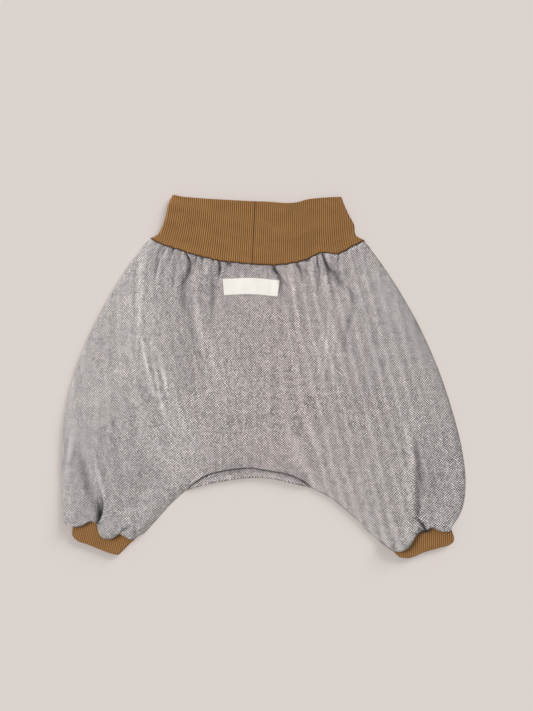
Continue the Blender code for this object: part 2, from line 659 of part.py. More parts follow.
def waistband():
    across = columns(FRONT_COLUMNS)
    seam = curve_through(WAIST_SEAM, across)

    def grid(shares):
        along = WING + shares * (1 - 2 * WING)
        lower = np.stack([np.interp(along, across, seam[:, i]) for i in (0, 1)], axis=1)
        lower += (0, SEAM_GAP + SEAM_SLOPE_MARGIN)
        upper = curve_through(WAIST_TOP, shares)
        left = curve_through(WAIST_LEFT, WAIST_ROWS)
        right = curve_through(WAIST_RIGHT, WAIST_ROWS)
        return patch(upper, lower, left, right, shares, WAIST_ROWS)

    return rib_tube("waistband", grid, WAIST_ROWS, WAIST_HOLLOW, WAIST_PLAIN_POINTS, (JOIN_SHARE,))


def cuff(name, outline):
    def grid(shares):
        return patch(
            curve_through(outline["seam"], shares), curve_through(outline["free"], shares),
            curve_through(outline["left"], CUFF_ROWS), curve_through(outline["right"], CUFF_ROWS),
            shares, CUFF_ROWS,
        )

    return rib_tube(name, grid, CUFF_ROWS, CUFF_HOLLOW, CUFF_PLAIN_POINTS, ())


def label(panel):
    """A flat woven label whose points are the panel's own, moved out."""
    surface = BVHTree.FromPolygons(
        [vertex.co for vertex in panel.data.vertices], [face.vertices for face in panel.data.polygons]
    )
    across = np.linspace(0, 1, LABEL_COLUMNS)
    down = np.linspace(0, 1, LABEL_LINES)
    top = curve_through(LABEL_TOP, across)
    bottom = curve_through(LABEL_BOTTOM, across)
    left = top[0] + down[:, None] * (bottom[0] - top[0])
    right = top[-1] + down[:, None] * (bottom[-1] - top[-1])
    points = patch(top, bottom, left, right, across, down)
    under = np.zeros(points.shape[:2] + (3,))
    for j in range(LABEL_LINES):
        for i in range(LABEL_COLUMNS):
            x, y = (points[j, i] - MIDDLE[:2]) * METRES
            hit = surface.ray_cast(Vector((x, y, ABOVE_ALL)), Vector((0, 0, -1)))[0]
            under[j, i] = (points[j, i, 0], points[j, i, 1], hit.z / METRES + SEAM_GAP)
    upper = under + (0, 0, LABEL_CLOTH)
    vertices, faces = sheet_mesh(upper, under)
    return solid("label", vertices, faces, SATIN)


def main():
    for thing in list(bpy.data.objects):
        bpy.data.objects.remove(thing)
    panel = front_panel()
    back_panel()
    waistband()
    for name, outline in CUFFS.items():
        cuff(name, outline)
    bpy.context.view_layer.update()
    label(panel)


main()
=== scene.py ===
"""Looks for the baby's knickerbockers, laid flat and seen from straight above.

Each solid of the part is replaced by a fine thin shell on the same form: gathered woven cloth, rib
knit with real ribs, and a bare woven label. Every size is in millimetres until put_in_scene().
"""

import math

import bpy
import numpy as np
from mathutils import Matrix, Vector
from mathutils.bvhtree import BVHTree

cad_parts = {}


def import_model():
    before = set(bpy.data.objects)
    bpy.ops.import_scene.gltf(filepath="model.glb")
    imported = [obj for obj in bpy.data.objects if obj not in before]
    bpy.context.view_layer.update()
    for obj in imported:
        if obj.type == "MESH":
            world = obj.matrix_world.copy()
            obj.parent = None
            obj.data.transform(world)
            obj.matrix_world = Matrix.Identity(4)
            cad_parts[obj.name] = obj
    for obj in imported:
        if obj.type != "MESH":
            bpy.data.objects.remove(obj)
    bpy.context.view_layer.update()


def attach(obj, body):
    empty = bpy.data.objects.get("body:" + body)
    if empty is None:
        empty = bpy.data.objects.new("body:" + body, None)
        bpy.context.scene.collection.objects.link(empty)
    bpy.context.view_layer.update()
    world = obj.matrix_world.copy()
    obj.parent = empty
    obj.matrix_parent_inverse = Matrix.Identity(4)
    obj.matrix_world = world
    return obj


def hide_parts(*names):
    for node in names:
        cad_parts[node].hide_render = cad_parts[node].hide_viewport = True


METRES = 0.001
MIDDLE = np.array((-0.28, -0.3, 0.0))

# Walls of the solids, whose outer faces the shells keep
CLOTH = 1.2
RIB_KNIT = 1.6
LABEL_CLOTH = 0.8
SEAM_GAP = 0.3
SEAM_SLOPE_MARGIN = 0.1
WAIST_HOLLOW = 0.8
CUFF_HOLLOW = 0.5
RIB_RAISE = 0.45

# What the shells have of their own: a thinner cloth, and ribs that are deeper
SHEET = 0.7
RIB_PITCH = 1.81
RIB_DEPTH = 0.85
RIB_ROUNDNESS = 2.2

# Heights of the upper panel's mid surface
EDGE_HEIGHT = CLOTH + SEAM_GAP + CLOTH / 2
WAIST_HEIGHT = 1.5 * RIB_KNIT + WAIST_HOLLOW
BODY_HEIGHT = 5.4
CUFF_TOP = 2 * RIB_KNIT + CUFF_HOLLOW + RIB_RAISE
TUCK_HEIGHT = CUFF_TOP + SEAM_GAP + CLOTH / 2

# How fast the upper panel rises from each of its edges
SIDE_RISE = 3.8
WAIST_RISE = 6.0
CROTCH_RISE = 10.0
HEM_RISE = 40.0
HEM_CORNER = 8.0
INSEAM_LIFT = 3.4
INSEAM_LIFT_REACH = 11.0
LEFT_CORNER_LIFT = 2.0
RIGHT_CORNER_LIFT = 5.4
CORNER_LIFT_REACH = 13.0
WAIST_BULGE = 1.3
WAIST_BULGE_PLACE = 4.0

# The fold that the lower panel makes round the crotch edge, tighter where its strip is narrow
FOLD_RADIUS = 1.3
LEAST_FOLD_RADIUS = 0.6
FOLD_START = 1.7
FOLD_WHOLE = 2.6
FOLD_GROWN = 4.8
STRIP_MARGIN = 0.15
WHOLLY_TURNED = 0.99

# How the shells' edges roll down: at the sides, at the seams, and where the cuffs lie under them, and
# from where to where above a hem the sides start to
SIDE_ROLL = 1.8
SEAM_ROLL = 1.1
SEAM_DROP = 0.7
WAIST_DROP = 0.45
CORNER_DROP = 0.8
LOWEST_EDGE = 0.5
CORNER_REACH = 14.0
HEM_CLEAR = (8.0, 22.0)
BACK_LEG_INSET = 1.4
LEAST_LIP = 0.3

# The strip that shows below the crotch seam: its drop and painted shade in the seam's groove, and the
# painted light that makes it paler
STRIP_DROP = 0.6 * SEAM_DROP
STRIP_GROOVE_PAINTED_SHADE = 0.45
STRIP_PAINTED_LIGHT = 0.12
GROOVE_SHARPNESS = 1.4

# The waist seam's little scallops, one at each gather
SCALLOP = 0.75
SCALLOP_WIDTH = 1.5

# The rim of a panel: how it turns under at a hem, and how far from it and from a hem's corner the
# panel's own directions give way
RIM_TURN = 0.9
RIM_FLAT = 0.6
NEARLY_TURNED = 0.8
HEM_TUCK = 4.0
RIM_TURN_ROWS = 8
TURN_START = 0.5
TURN_WHOLE = 1.7
LEAST_DROP = 0.8
CORNER_BLEND = 6.0
NEAR_RIM = 2.0
FRONT_WINDOW = 13
BACK_WINDOW = 4

# How the shell's own relief fades in from the sides, the lower edge and the seam
SIDE_FADE = 3.0
EDGE_FADE = 3.0
GROOVE_FADE = 2.5
FINE_FADES = (7.0, 7.0, 5.0)

# Uneven swells: how many waves make them up and how these sway, turn and vary in size, then size,
# height and how much longer they are one way, and on the lower panel the part that is cut off
SWELL_WAVES = 7
SWELL_SWAY = 1.4
SWELL_TURN = (-0.5, 0.5)
SWELL_SIZES = (0.7, 1.4)
SWELLS = ((34.0, 0.34, 2.6), (14.0, 0.12, 2.0))
BACK_SWELLS = ((40.0, 0.55, 2.4, 0.25), (16.0, 0.2, 2.0, 0.0))
BACK_FADES = (16.0, 22.0, 4.0)
BACK_GATHERS_FADE = 6.0

# The seam allowance that shows through beside each side seam: height, distance and width, and where
# its ridge starts below the waist and ends above the hem
ALLOWANCE = 0.14
ALLOWANCE_PLACE = 9.0
ALLOWANCE_WIDTH = 1.6
ALLOWANCE_START = (0.0, 20.0)
ALLOWANCE_END = (14.0, 44.0)

# Columns and rows of points in the fine shells
HEM_SHARE = 0.2
FRONT_COLUMNS = (110, 215, 100)
BACK_COLUMNS = (50, 130, 50)
SIDE_SHARES = (0.0006, 0.0013, 0.0021, 0.0032)
SEAM_SHARES = (0, 0.0008, 0.0017, 0.0028, 0.0043, 0.0062, 0.0088)
ROW_SHARES = (0.012, 0.03, 0.055, 0.09, 0.14, 0.21, 0.3, 0.41, 0.53, 0.65, 0.76, 0.86, 0.94, 1)
FRONT_ROW_STEPS = (6, 7, 8, 9, 9, 9, 11, 12, 12, 11, 11, 14, 26)
BACK_ROW_STEPS = (3, 3, 4, 4, 5, 7, 8, 9, 9, 8, 8, 7, 6)

# Outlines as (x, y), seen from above
WAIST_SEAM = [
    (-101.6, 123.8), (-94.6, 119.6), (-84.5, 115.6), (-74.9, 112.9), (-64.5, 109.2),
    (-55, 106.9), (-41.5, 103.6), (-21.2, 101.1), (-9.4, 99.9), (15.8, 99.7),
    (40, 104.8), (51.8, 110.5), (66.2, 109.2), (81.5, 116.7), (90.5, 121.7),
]
LEFT_SIDE = [
    (-101.6, 123.9), (-119.6, 100.8), (-145.4, 58), (-165, 14.4), (-177, -28.8),
    (-181.4, -72), (-181.4, -102.6), (-179.2, -130.8),
]
RIGHT_SIDE = [
    (90.5, 121.7), (105.8, 100.8), (132.8, 57.6), (153.5, 14.4), (168.8, -28.8),
    (179.4, -72), (182, -97.2), (177.8, -124.2), (167.9, -139.5),
]
LEFT_HEM = [
    (-179.2, -130.8), (-175.1, -134.5), (-170.6, -135.5), (-163.4, -134.5), (-153.9, -130.5),
    (-149.5, -133.2), (-147.7, -140.4), (-144.1, -144.9), (-139.1, -146.3), (-133.2, -144.5),
    (-129.2, -141.7), (-125, -143.7), (-119.4, -146.4), (-115.5, -146.2), (-112.5, -143.1),
]
RIGHT_HEM = [
    (116.6, -157.2), (123.3, -157.5), (129.5, -154.4), (133.7, -149), (137.3, -142.7),
    (141.8, -139.5), (146.3, -140.1), (150.2, -136.2), (155.3, -137.7), (162.5, -139.9),
    (167.9, -139.5),
]
CROTCH_SEAM = [
    (-112.5, -143.1), (-107.6, -141.3), (-101.3, -135), (-80.6, -112.5), (-72.7, -105.3),
    (-62.6, -96.6), (-51.8, -89.6), (-40.5, -86.2), (-25.7, -83.7), (-10, -82.7),
    (3.2, -85.1), (19.4, -87.8), (30.2, -91.4), (38, -96), (44.6, -101.3),
    (55.4, -106.7), (76.1, -122.4), (97.7, -143.1), (108.5, -152.1), (116.6, -157.2),
]
CROTCH_EDGE = [
    (-107.6, -141), (-101.3, -135), (-80.6, -112.5), (-69.8, -103.9), (-53.6, -98.3),
    (-32, -94.1), (-10.4, -91.6), (4.1, -92.1), (22.1, -95.8), (43.7, -101.6),
    (55.4, -106.7), (76.1, -122.4), (104, -147.6),
]
BACK_LEFT_HEM = [
    (0, -177.2, -125.5), (0.3, -161, -115.5), (0.9, -111.6, -138.4), (1, -107.6, -141),
]
BACK_RIGHT_HEM = [
    (0, 104, -147.6), (0.2, 111.7, -136.2), (0.8, 161.9, -123.6), (1, 172.8, -127.6),
]
BACK_SIDE_INSET = 1.5
BACK_SEAM_INSET = 0.4

# Height of the upper panel along each hem, lobes and pinches in turn: x, height
LEFT_LOBES = [
    (-179.2, 7.4), (-169, 8.6), (-151.5, 6.7), (-140, 9.6), (-129.2, 7.6), (-118, 8.8),
]
RIGHT_LOBES = [(118, 8.6), (127, 9.4), (146.5, 6.9), (158, 8.8), (167.9, 7.6)]

# Gathers at the waist seam: x at the seam, depth, width, reach down the panel, lean on the way
PUCKERS = [
    (-96, 0.5, 1.9, 6, -1),
    (-89.6, 0.9, 2, 8, 1),
    (-80.6, 1.1, 2, 8, 2),
    (-74.3, 0.6, 2, 7, 2),
    (-69, 1.5, 2.2, 8, 6),
    (-59.7, 1, 1.9, 8, 2),
    (-54.3, 1, 1.9, 7, 2),
    (-45.3, 0.9, 1.9, 6, 1),
    (-39.2, 1.5, 2, 10, 3),
    (-31.5, 1, 2, 6, 0),
    (-20.3, 0.5, 2.2, 5, 0),
    (-10, 0.4, 2.2, 5, 0),
    (0, 0.5, 2.2, 6, 0),
    (9.6, 1.5, 2, 11, 3),
    (20.9, 0.9, 2, 7, 0),
    (30.2, 1.1, 2, 9, 1),
    (39.2, 1, 2, 7, -2.5),
    (48.3, 1.2, 2, 10, -5),
    (53.2, 1.2, 2.1, 12, -3.5),
    (67.5, 0.8, 2.2, 7, -4.5),
    (75, 0.5, 2.2, 6, -3),
    (84.2, 0.6, 2, 6, -2),
]

# How a gather deepens from the seam down, how far its lean goes on, and the most depth that counts
# for the seam's line and its painted shade
PUCKER_AT_SEAM = 0.4
PUCKER_RISE = 3.0
PUCKER_LEAN_END = 1.5
MOST_PUCKER = 1.2

# The small gathers between the main ones: the stretch of seam, then ranges for their spacing, depth, width,
# reach and tilt, and how they lean out towards the sides
GATHER_SPAN = (-99.0, 88.0)
GATHER_SPACING = (2.2, 4.6)
GATHER_DEPTH = (0.25, 0.75)
GATHER_WIDTH = (0.7, 1.1)
GATHER_REACH = (2.5, 7.0)
GATHER_TILT = (-0.6, 0.6)
GATHER_LEAN = 170.0

# Soft folds: x and y of start, bend and end, then width and height, below zero for a trough
FOLDS = [
    ((-98, 103), (-106, 30), (-50, -55), 11, 1.8),
    ((-66, 96), (-78, 62), (-44, 0), 6, -1.9),
    ((-54, 94), (-59, 52), (-36, 2), 4.5, 1.5),
    ((53, 104), (66, 92), (72, 74), 7.5, -1),
    ((79, 70), (73, 45), (51, 12), 5, 1.2),
    ((29, 86), (32, 58), (33, 30), 4, 0.8),
    ((-45, 92), (-48, 70), (-43, 52), 4.5, -0.8),
    ((-147, -130), (-153, -104), (-164, -68), 5.5, -2.4),
    ((-137, -122), (-143, -98), (-154, -70), 4.5, 1),
    ((-122, -136), (-124, -115), (-134, -82), 7, -0.9),
    ((144, -133), (141, -108), (139.5, -64), 6.4, -0.9),
    ((133, -122), (134, -92), (133, -50), 3.6, 1.1),
]
FOLD_SAMPLES = 24
FOLD_END_SHARE = 0.06

# Finer creases that only the shell has, in the same form
CREASES = [
    ((-128.4, -140.4), (-123.5, -136.6), (-116, -134.4), 1.8, -1),
    ((-133, -137), (-126, -131.5), (-117, -129.5), 2.6, 0.5),
    ((128, -140), (123, -126), (117, -100), 4, -0.5),
    ((66, 58), (71, 64), (77, 66), 3, 0.6),
]

# Small steps of the surface, which catch the light or lose it, and carry painted light and shade as
# well: start, bend and end, each path going down the panel, then width and slope, above zero where
# the surface rises towards the right
STEPS = [
    # At the waist, left of the label
    ((-103, 118.8), (-111.4, 105.3), (-111.6, 52.2), 4.2, 0.58),
    ((-111.6, 54.9), (-113, 36.9), (-114.3, 18.9), 2, 0.49),
    ((-106.2, 79.2), (-104.2, 54.9), (-104.9, 30.6), 1.6, 0.35),
    ((-108, 27.9), (-105.5, 11.2), (-98.5, -14.4), 1.8, 0.7),
    ((-100.8, 30.6), (-97, 0), (-88.7, -37.8), 1.8, 0.77),
    ((-93.2, 18), (-89.1, -2.7), (-79.7, -45), 1.8, 0.77),
    ((-85, 10.8), (-80.5, -7.6), (-68.9, -60.3), 1.8, 0.63),
    ((-86.9, 110.7), (-98.5, 94.1), (-94, 75.6), 2.2, 0.56),
    ((-95, 108), (-96.6, 98.5), (-97.6, 90), 3.2, -0.5),
    ((-72.5, 110.7), (-71.1, 103.1), (-71.5, 90), 2.7, 0.63),
    ((-66.5, 104), (-62, 97.5), (-70.7, 86.4), 4.2, -0.45),
    ((-70.7, 88), (-75.6, 73.3), (-66.2, 52.2), 5, -0.5),
    ((-62.6, 102.6), (-63.5, 81.9), (-60.8, 64.8), 4.5, 0.63),
    ((-60.8, 66.6), (-59.9, 48.6), (-51.8, 30.6), 2.7, 0.77),
    ((-48.1, 90), (-43.2, 73.8), (-47.2, 54), 4.5, -0.57),
    ((-50.9, 28.8), (-48.2, 19.8), (-38.2, -3.6), 1.8, 0.49),
    ((-38.2, 102.6), (-38.2, 95.4), (-40.1, 88.2), 1.4, -1.14),
    ((-50, 102.6), (-50.9, 97.2), (-51.8, 91.8), 3.6, 0.49),
    ((-77, 48.6), (-76.1, 38.3), (-73.4, 26.1), 1.8, -0.57),
    ((-79.7, 102.6), (-80.5, 94.5), (-81.5, 82.8), 2.7, -0.57),
    # Right of it
    ((20.2, 99), (25.6, 87.3), (27.4, 68.4), 2.3, 0.77),
    ((27.4, 70.2), (29.9, 59.4), (29.7, 41.4), 1.8, 0.56),
    ((31.9, 100.8), (33.3, 95), (34.6, 83.7), 1.6, -1.04),
    ((42.8, 102.6), (44.1, 95.8), (45.5, 83.7), 2.3, 0.56),
    ((48.1, 105.3), (51.3, 96.3), (49.1, 80.1), 1.6, -1.04),
    ((51.3, 107.1), (55.9, 91.3), (60.8, 63), 2.5, 0.91),
    ((55, 104), (60, 90), (75, 79), 5.4, -0.6),
    ((75.2, 79.4), (82.4, 68), (77, 48.6), 4, -0.5),
    ((77, 48.6), (71.6, 38.3), (73.4, 26.1), 2.6, -0.55),
    ((12, 92), (14.4, 84.3), (19.4, 68), 3, -0.6),
    ((57.6, 57.6), (59.2, 41.4), (52.6, -10.8), 1.6, 0.63),
    ((63, 43.2), (60.1, 15.3), (63.5, -16.2), 1.5, 0.49),
    ((52.6, 36.9), (49.1, 17.6), (49.1, -14.4), 1.5, 0.42),
    # On the left leg
    ((-170.6, -49.5), (-175.5, -70.6), (-178.7, -104.4), 3.4, 0.6),
    ((-158.4, -75.6), (-155.5, -84.6), (-151.7, -93.6), 1.4, 0.63),
    ((-150.8, -75.6), (-146.7, -96.3), (-140.8, -113.4), 2.3, 0.77),
    ((-164.2, -72), (-162.4, -88.2), (-153.5, -111.6), 5, -0.45),
    # On the right leg
    ((129.2, -44.1), (132.8, -64.4), (132.8, -111.6), 4, 0.6),
    ((123.8, -48.6), (128.2, -70.2), (129.2, -77.4), 1.4, 0.49),
    ((138, -57.6), (138.6, -97.2), (138.8, -122.4), 5.2, -0.42),
    ((150.8, -118.8), (148.1, -126), (145.3, -133.2), 1.8, 0.42),
]
# Painted light and shade along each step, lighter where it rises towards the right: strength and width
STEP_PAINTED_LIGHT = 0.28
STEP_PAINTED_LIGHT_WIDTH = 0.8

# Folds that lap over a hollow, at the hems: start, bend and end with the hollow on the path's right,
# then the hollow's depth and width, the lap's rise, width and overhang, and the darkness of the painted
# shade in the hollow
LAPS = [
    ((-145.4, -103), (-137, -121), (-150.4, -136.6), 2.5, 6, 1.6, 3.8, 1, 0.85),
    ((136.4, -127.4), (143.4, -131.2), (147, -141), 1.8, 1.7, 0.8, 2.4, 0.4, 0.9),
    ((58.9, 80), (55.8, 98), (51.8, 109), 1.2, 3.4, 0.6, 2.2, 0.4, 0.4),
]
# The lap's edge, and the width of the hollow's painted shade as a share of the hollow's width
LAP_EDGE = 1.3
LAP_PAINTED_SHADE_WIDTH = 0.6

# Deep creases, grooved and darkened with painted shade: start, bend and end, then width, depth and
# the painted shade's darkness, and its sharp side: 1 to the left of the way the path runs, -1 to its
# right, 2 for both, 0 for none
DEEP_LINES = [
    # At the waist seam, left of the label
    ((-88.7, 115), (-89.5, 112.2), (-90.6, 109.5), 1.1, 0.7, 0.65, 0),
    ((-80.9, 113.6), (-81.1, 111.8), (-81.6, 109.8), 0.9, 0.9, 0.85, 2),
    ((-69.4, 110), (-67, 105.6), (-64.6, 100.4), 1.2, 1.5, 1, 2),
    ((-65, 101), (-69, 92), (-71.4, 84), 3.6, 0.5, 0.26, 0),
    ((-59.8, 108.6), (-60.1, 105.3), (-60.3, 101), 0.65, 0.6, 0.5, 2),
    ((-57.2, 108.8), (-55.6, 107), (-54, 104.6), 1.15, 0.8, 0.95, 2),
    ((-45.8, 104.6), (-45.3, 103.2), (-44.9, 101.8), 0.8, 0.7, 0.6, 0),
    ((-40.2, 102.8), (-37.2, 97.6), (-39.8, 92.2), 1.15, 1.5, 1, 1),
    ((-36, 104.1), (-31.4, 102.4), (-29.2, 98.6), 1.5, 1.2, 1, 2),
    # Right of it
    ((5, 101.4), (9.8, 100.2), (10.4, 96.8), 1.3, 1, 1, 2),
    ((10.4, 98.6), (8.8, 94.4), (14.2, 91), 1.35, 1.7, 1, 1),
    ((13.4, 91.8), (15.6, 87.4), (18.6, 83), 2, 0.7, 0.4, 0),
    ((20.6, 100.8), (20.9, 99.6), (21.2, 98.4), 0.8, 0.5, 0.5, 0),
    ((29, 101.4), (32.2, 97.8), (36.2, 94.4), 2.6, 0.7, 0.32, 0),
    ((29, 101.4), (30.6, 99.2), (32, 97), 0.75, 0.5, 0.55, 0),
    ((37, 104), (38.8, 103), (40.8, 103.6), 1.3, 0.8, 1, 2),
    ((48.5, 109), (48.4, 102.6), (48.5, 96.8), 0.85, 0.9, 0.95, 2),
    ((48.8, 97), (49.3, 91.8), (49, 87), 1.8, 0.4, 0.2, 0),
    ((51.6, 110.2), (54.6, 103.6), (58.8, 95.8), 1.35, 1.7, 1, -1),
    ((56.6, 99.2), (59.2, 95.4), (62.6, 93), 2.2, 0.8, 0.5, 0),
    ((60, 95), (67, 91), (72.8, 84), 6, 0.3, 0.26, 0),
    ((67.9, 107.6), (67.3, 105.2), (66.5, 102.6), 0.9, 0.7, 0.8, 2),
    ((76.1, 82), (78.6, 75.6), (79.5, 68), 1.3, 0.3, 0.12, 0),
    # At the hems
    ((-163.5, -76), (-159, -98), (-149, -126), 6, 0, 0.14, 0),
    ((-149.9, -113), (-144.6, -121.5), (-149.4, -131.5), 3.2, 0, 0.8, 0),
    ((-146.6, -122), (-145.6, -128), (-149.6, -132.8), 1.7, 0, 0.85, 0),
    ((136.6, -127.6), (143.6, -131.2), (146.9, -141), 1.35, 1, 1, 2),
    ((139.6, -137.6), (144.8, -141.4), (150, -137.2), 2.1, 0, 1, 0),
    ((138.6, -113), (137.6, -121), (136.6, -129), 2.4, 0.4, 0.4, 0),
    ((-129.4, -141), (-126.4, -137.6), (-119.5, -135), 1.1, 0.5, 0.65, 0),
    # Where the crotch seam runs out
    ((-73.5, -106.2), (-69.5, -102.4), (-62.5, -96.6), 0.8, 0, 0.45, 0),
    ((45.2, -101.8), (40.5, -98.2), (35, -93.9), 0.8, 0, 0.45, 0),
]
BOTH_SIDES = 2
SHARP_SIDE = 0.6
SOFT_SIDE = 1.5
GROOVE_WIDTH = 1.3

# Paler and darker patches of the cloth, partly its own tone and partly painted light and shade where the
# surface faces towards or away from the light: x, y, width, height and tone
TONE_AND_LIGHT_PATCHES = [
    (-118.4, 45.9, 27, 68, 0.16),
    (-158, -21.6, 20, 54, 0.12),
    (-66, 91, 9, 22, -0.05),
    (-66, 9.9, 11, 22, -0.07),
    (-48, 19, 11, 27, 0.1),
    (-70.6, -66.6, 20, 31, 0.13),
    (-84, -26, 13, 22, 0.07),
    (-136, -66.6, 11, 18, -0.08),
    (-120, -98, 11, 18, -0.14),
    (60, 95, 11, 11, -0.08),
    (152, -100, 18, 34, -0.17),
    (78, -22, 54, 54, -0.04),
    (-170, -48, 9, 18, 0.08),
    (-60, -92, 26, 9, 0.08),
    (-30, -8, 14, 20, 0.06),
    (-158, -118, 8, 8, -0.08),
    (-120, -116, 9, 9, -0.06),
    (139, -125, 10, 9, -0.08),
    (-84, 60, 9, 16, -0.06),
    (164, -130, 7, 9, 0.08),
    (-18, 98, 14, 3, -0.14),
    (112, -40, 50, 90, -0.06),
]

# The gathers' sharp middles, as relief and as painted shade
SHARP_PUCKERS = 1.0
SHARP_PUCKER_WIDTH = 0.5
PUCKER_PAINTED_SHADE = 0.5
GATHER_PAINTED_SHADE = 0.5
PUCKER_PAINTED_SHADE_WIDTH = 0.5

# Painted shade in the grooves at the waist seam and the crotch seam: darkness and width, and the range of
# the whole painted shade and light
WAIST_GROOVE_PAINTED_SHADE = (0.42, 0.6)
CROTCH_GROOVE_PAINTED_SHADE = (0.55, 0.8)
SHADE_RANGE = (0.08, 1.4)

# Faint stripes down the cloth: spacing, height and sway as relief, the spacing of fainter ones across
# it, then how they lean on each leg below a height, and where across the cloth they do
STRIPE = 10.2
STRIPE_RELIEF = 0.2
STRIPE_SWAY = 0.5
CHECK = 0.84 * STRIPE
SWAY_ACROSS = 23.0
SWAY_DOWN = 31.0
LEAN_BELOW = 40.0
RIGHT_LEAN = 0.25
RIGHT_LEAN_SPAN = (-8.0, 54.0)
LEFT_LEAN = 0.30
LEFT_LEAN_PLACE = -78.0
LEFT_LEAN_WIDTH = 34.0

# How clear the stripes are: least in the middle, whole on the right but for its side, and a patch on
# the left
LEAST_CLEAR = 0.3
CLEAR_SPAN = (-12.0, 44.0)
CLEAR_PATCH = (-100, -5, 32, 70, 0.45)
FAINT_SIDE = 0.5
FAINT_SPAN = (122.0, 152.0)

# Waistband outline above the waist seam
WAIST_TOP = [
    (-81.5, 163), (-75.2, 161.6), (-59, 160), (-32, 158.3), (0.5, 156.8),
    (32.9, 156.8), (37.8, 158.4), (49.1, 159.9), (69.9, 161.1),
]
WAIST_LEFT = [
    (-81.5, 163), (-85.6, 153.9), (-87.4, 144.2), (-90.2, 135.4), (-94.4, 127.6),
    (-97.4, 125.6), (-101.4, 124.2),
]
WAIST_RIGHT = [
    (69.9, 161.1), (72.9, 152.6), (77.4, 142.8), (80.4, 136.9), (82, 127), (90, 122.2),
]
WING = 0.004
WING_TIP = 1.5
WING_TIP_SHARE = 0.02

# The waistband's ribs: how they lean on the whole, and how those near the sides lean out lower down
RIB_START = 163.0
RIB_LEAN = 0.045
RIB_FAN = 5.4
RIB_FAN_WIDTH = 86.0
RIB_FAN_LENGTH = 42.0
RIB_FAN_END = 1.4
JOIN_RIB = -4

# Cuffs: how their ribs lean, then their outlines: hidden seam end first, free end last
CUFFS = {
    "cuff_left": {
        "lean": 0.22,
        "seam": [(-160.7, -116.1), (-136.4, -127.3), (-112.1, -138.6)],
        "free": [(-172.2, -138.6), (-171.4, -143.8), (-166.8, -148.2), (-158.9, -151),
                 (-145.6, -156.3), (-135.5, -159.9), (-130.1, -160.8)],
        "left": [(-160.7, -116.1), (-168.3, -127), (-172.2, -138.6)],
        "right": [(-112.1, -138.6), (-113.9, -144.5), (-120.2, -150.8), (-130.1, -160.8)],
    },
    "cuff_right": {
        "lean": -0.03,
        "seam": [(112.1, -136.8), (136.9, -130.5), (161.6, -124.2)],
        "free": [(122, -162.9), (129.5, -163.6), (145, -158.1), (159.8, -153.9),
                 (167, -151.8), (170.6, -149), (171.4, -145)],
        "left": [(112.1, -136.8), (113.2, -148.5), (116.4, -156.9), (122, -162.9)],
        "right": [(161.6, -124.2), (167.6, -134.8), (171.4, -145)],
    },
}
OUTLINE_SAMPLES = 401
TUBE_SAMPLES = 181

# Label outline: upper edge left to right, lower edge left to right
LABEL_TOP = [(-36.5, 87.1), (-11.2, 88), (14.5, 85.8)]
LABEL_BOTTOM = [(-35.3, 72.3), (-11.2, 73.1), (13.1, 71.1)]
LABEL_COLUMNS = 111
LABEL_LINES = 37
LABEL_LENGTH = 50.5
LABEL_WIDTH = 15.5

# The label's folded ends, how it is crowned, how little it follows the cloth, and its rounded rim
LABEL_FOLD = 6.4
LABEL_FOLD_EDGE = 0.7
LABEL_FOLD_RISE = 0.18
LABEL_CROWN = 0.22
LABEL_STIFFNESS = 0.75
LABEL_EDGE = 0.45
LABEL_ROUNDING = 0.5

# A height above the whole garment, in metres, from which rays look down for its surface
ABOVE_ALL = 0.1

# Stitches: how many points on a row at each end, from where to where down the label, how thick, how
# thin at their ends, how far they rise and sink in shares of their thickness, and the tubes' sides
STITCH_MARKS = 12
STITCH_SPAN = (0.06, 0.94)
STITCH_RADIUS = 0.2
STITCH_END = 0.55
STITCH_RISE = 1.3
STITCH_SINK = 0.6
STITCH_SIDES = 8

# Rib knit: points across each rib above and below, points round a side fold, rows by an end and how
# far apart the others are, a stitch's height, the roundness of an end, and how much less deep the
# ribs are at a side fold
RIB_POINTS = 6
UNDER_RIB_POINTS = 3
TURN_POINTS = 20
END_ROWS = (0, 0.12, 0.3, 0.55, 0.85, 1.2)
RIBS_TO_FOLD = 1.5
WAIST_ROW = 1.36
CUFF_ROW = 0.45
COURSE = 1.0
EDGE_RADIUS = 0.8
FOLD_RIBBING = 0.6

# Unevenness of the upper faces: height, waves across, where they start and how they drift lower down
WAIST_SWELL = (0.25, 9.0, 1.0, 2.0)
CUFF_SWELL = (0.1, 7.0, 0.0, 3.0)

# The waistband's join: its groove's width in ribs, depth and painted shade, and the rise beside it
JOIN_WIDTH = 0.3
JOIN_DEPTH = 0.3
JOIN_PAINTED_SHADE = 0.52
JOIN_RISE = 0.15
JOIN_RISE_WIDTH = 1.8

# Painted shade on the knit at its seams: darkness and width, and what each gather adds at the waist. It
# is a little deeper in colour on the right
WAIST_SEAM_PAINTED_SHADE = (0.8, 1.15)
GAPING_SEAM_PAINTED_SHADE = (0.45, 1.9)
MOST_SEAM_PAINTED_SHADE = 0.97
CUFF_SEAM_PAINTED_SHADE = (0.42, 1.1)
RIGHT_DEEPER = 0.07
RIGHT_DEEPER_SPAN = (-20.0, 40.0)

# The weave's grain fans out a little from a point far above the waist
GRAIN_CENTRE = (0.0, 1500.0)
GRAIN_RADIUS = 1500.0
YARN = 0.545

# Spacing of the label's lines and cross threads, and how glossy every cloth is
SATIN_LINE = 0.32
SATIN_THREAD = 0.45
CLOTH_GLOSS = 0.12

# Screen colours. Where there are two, the surface varies between them
PALE_YARN = ((0.88, 0.875, 0.875), (1.0, 0.998, 0.992))
DARK_YARN = ((0.03, 0.02, 0.02), (0.22, 0.195, 0.195))
WORN_YARN = (0.735, 0.733, 0.733)
TINTS = ((1.0, 0.957, 0.953), (0.985, 0.963, 0.955))
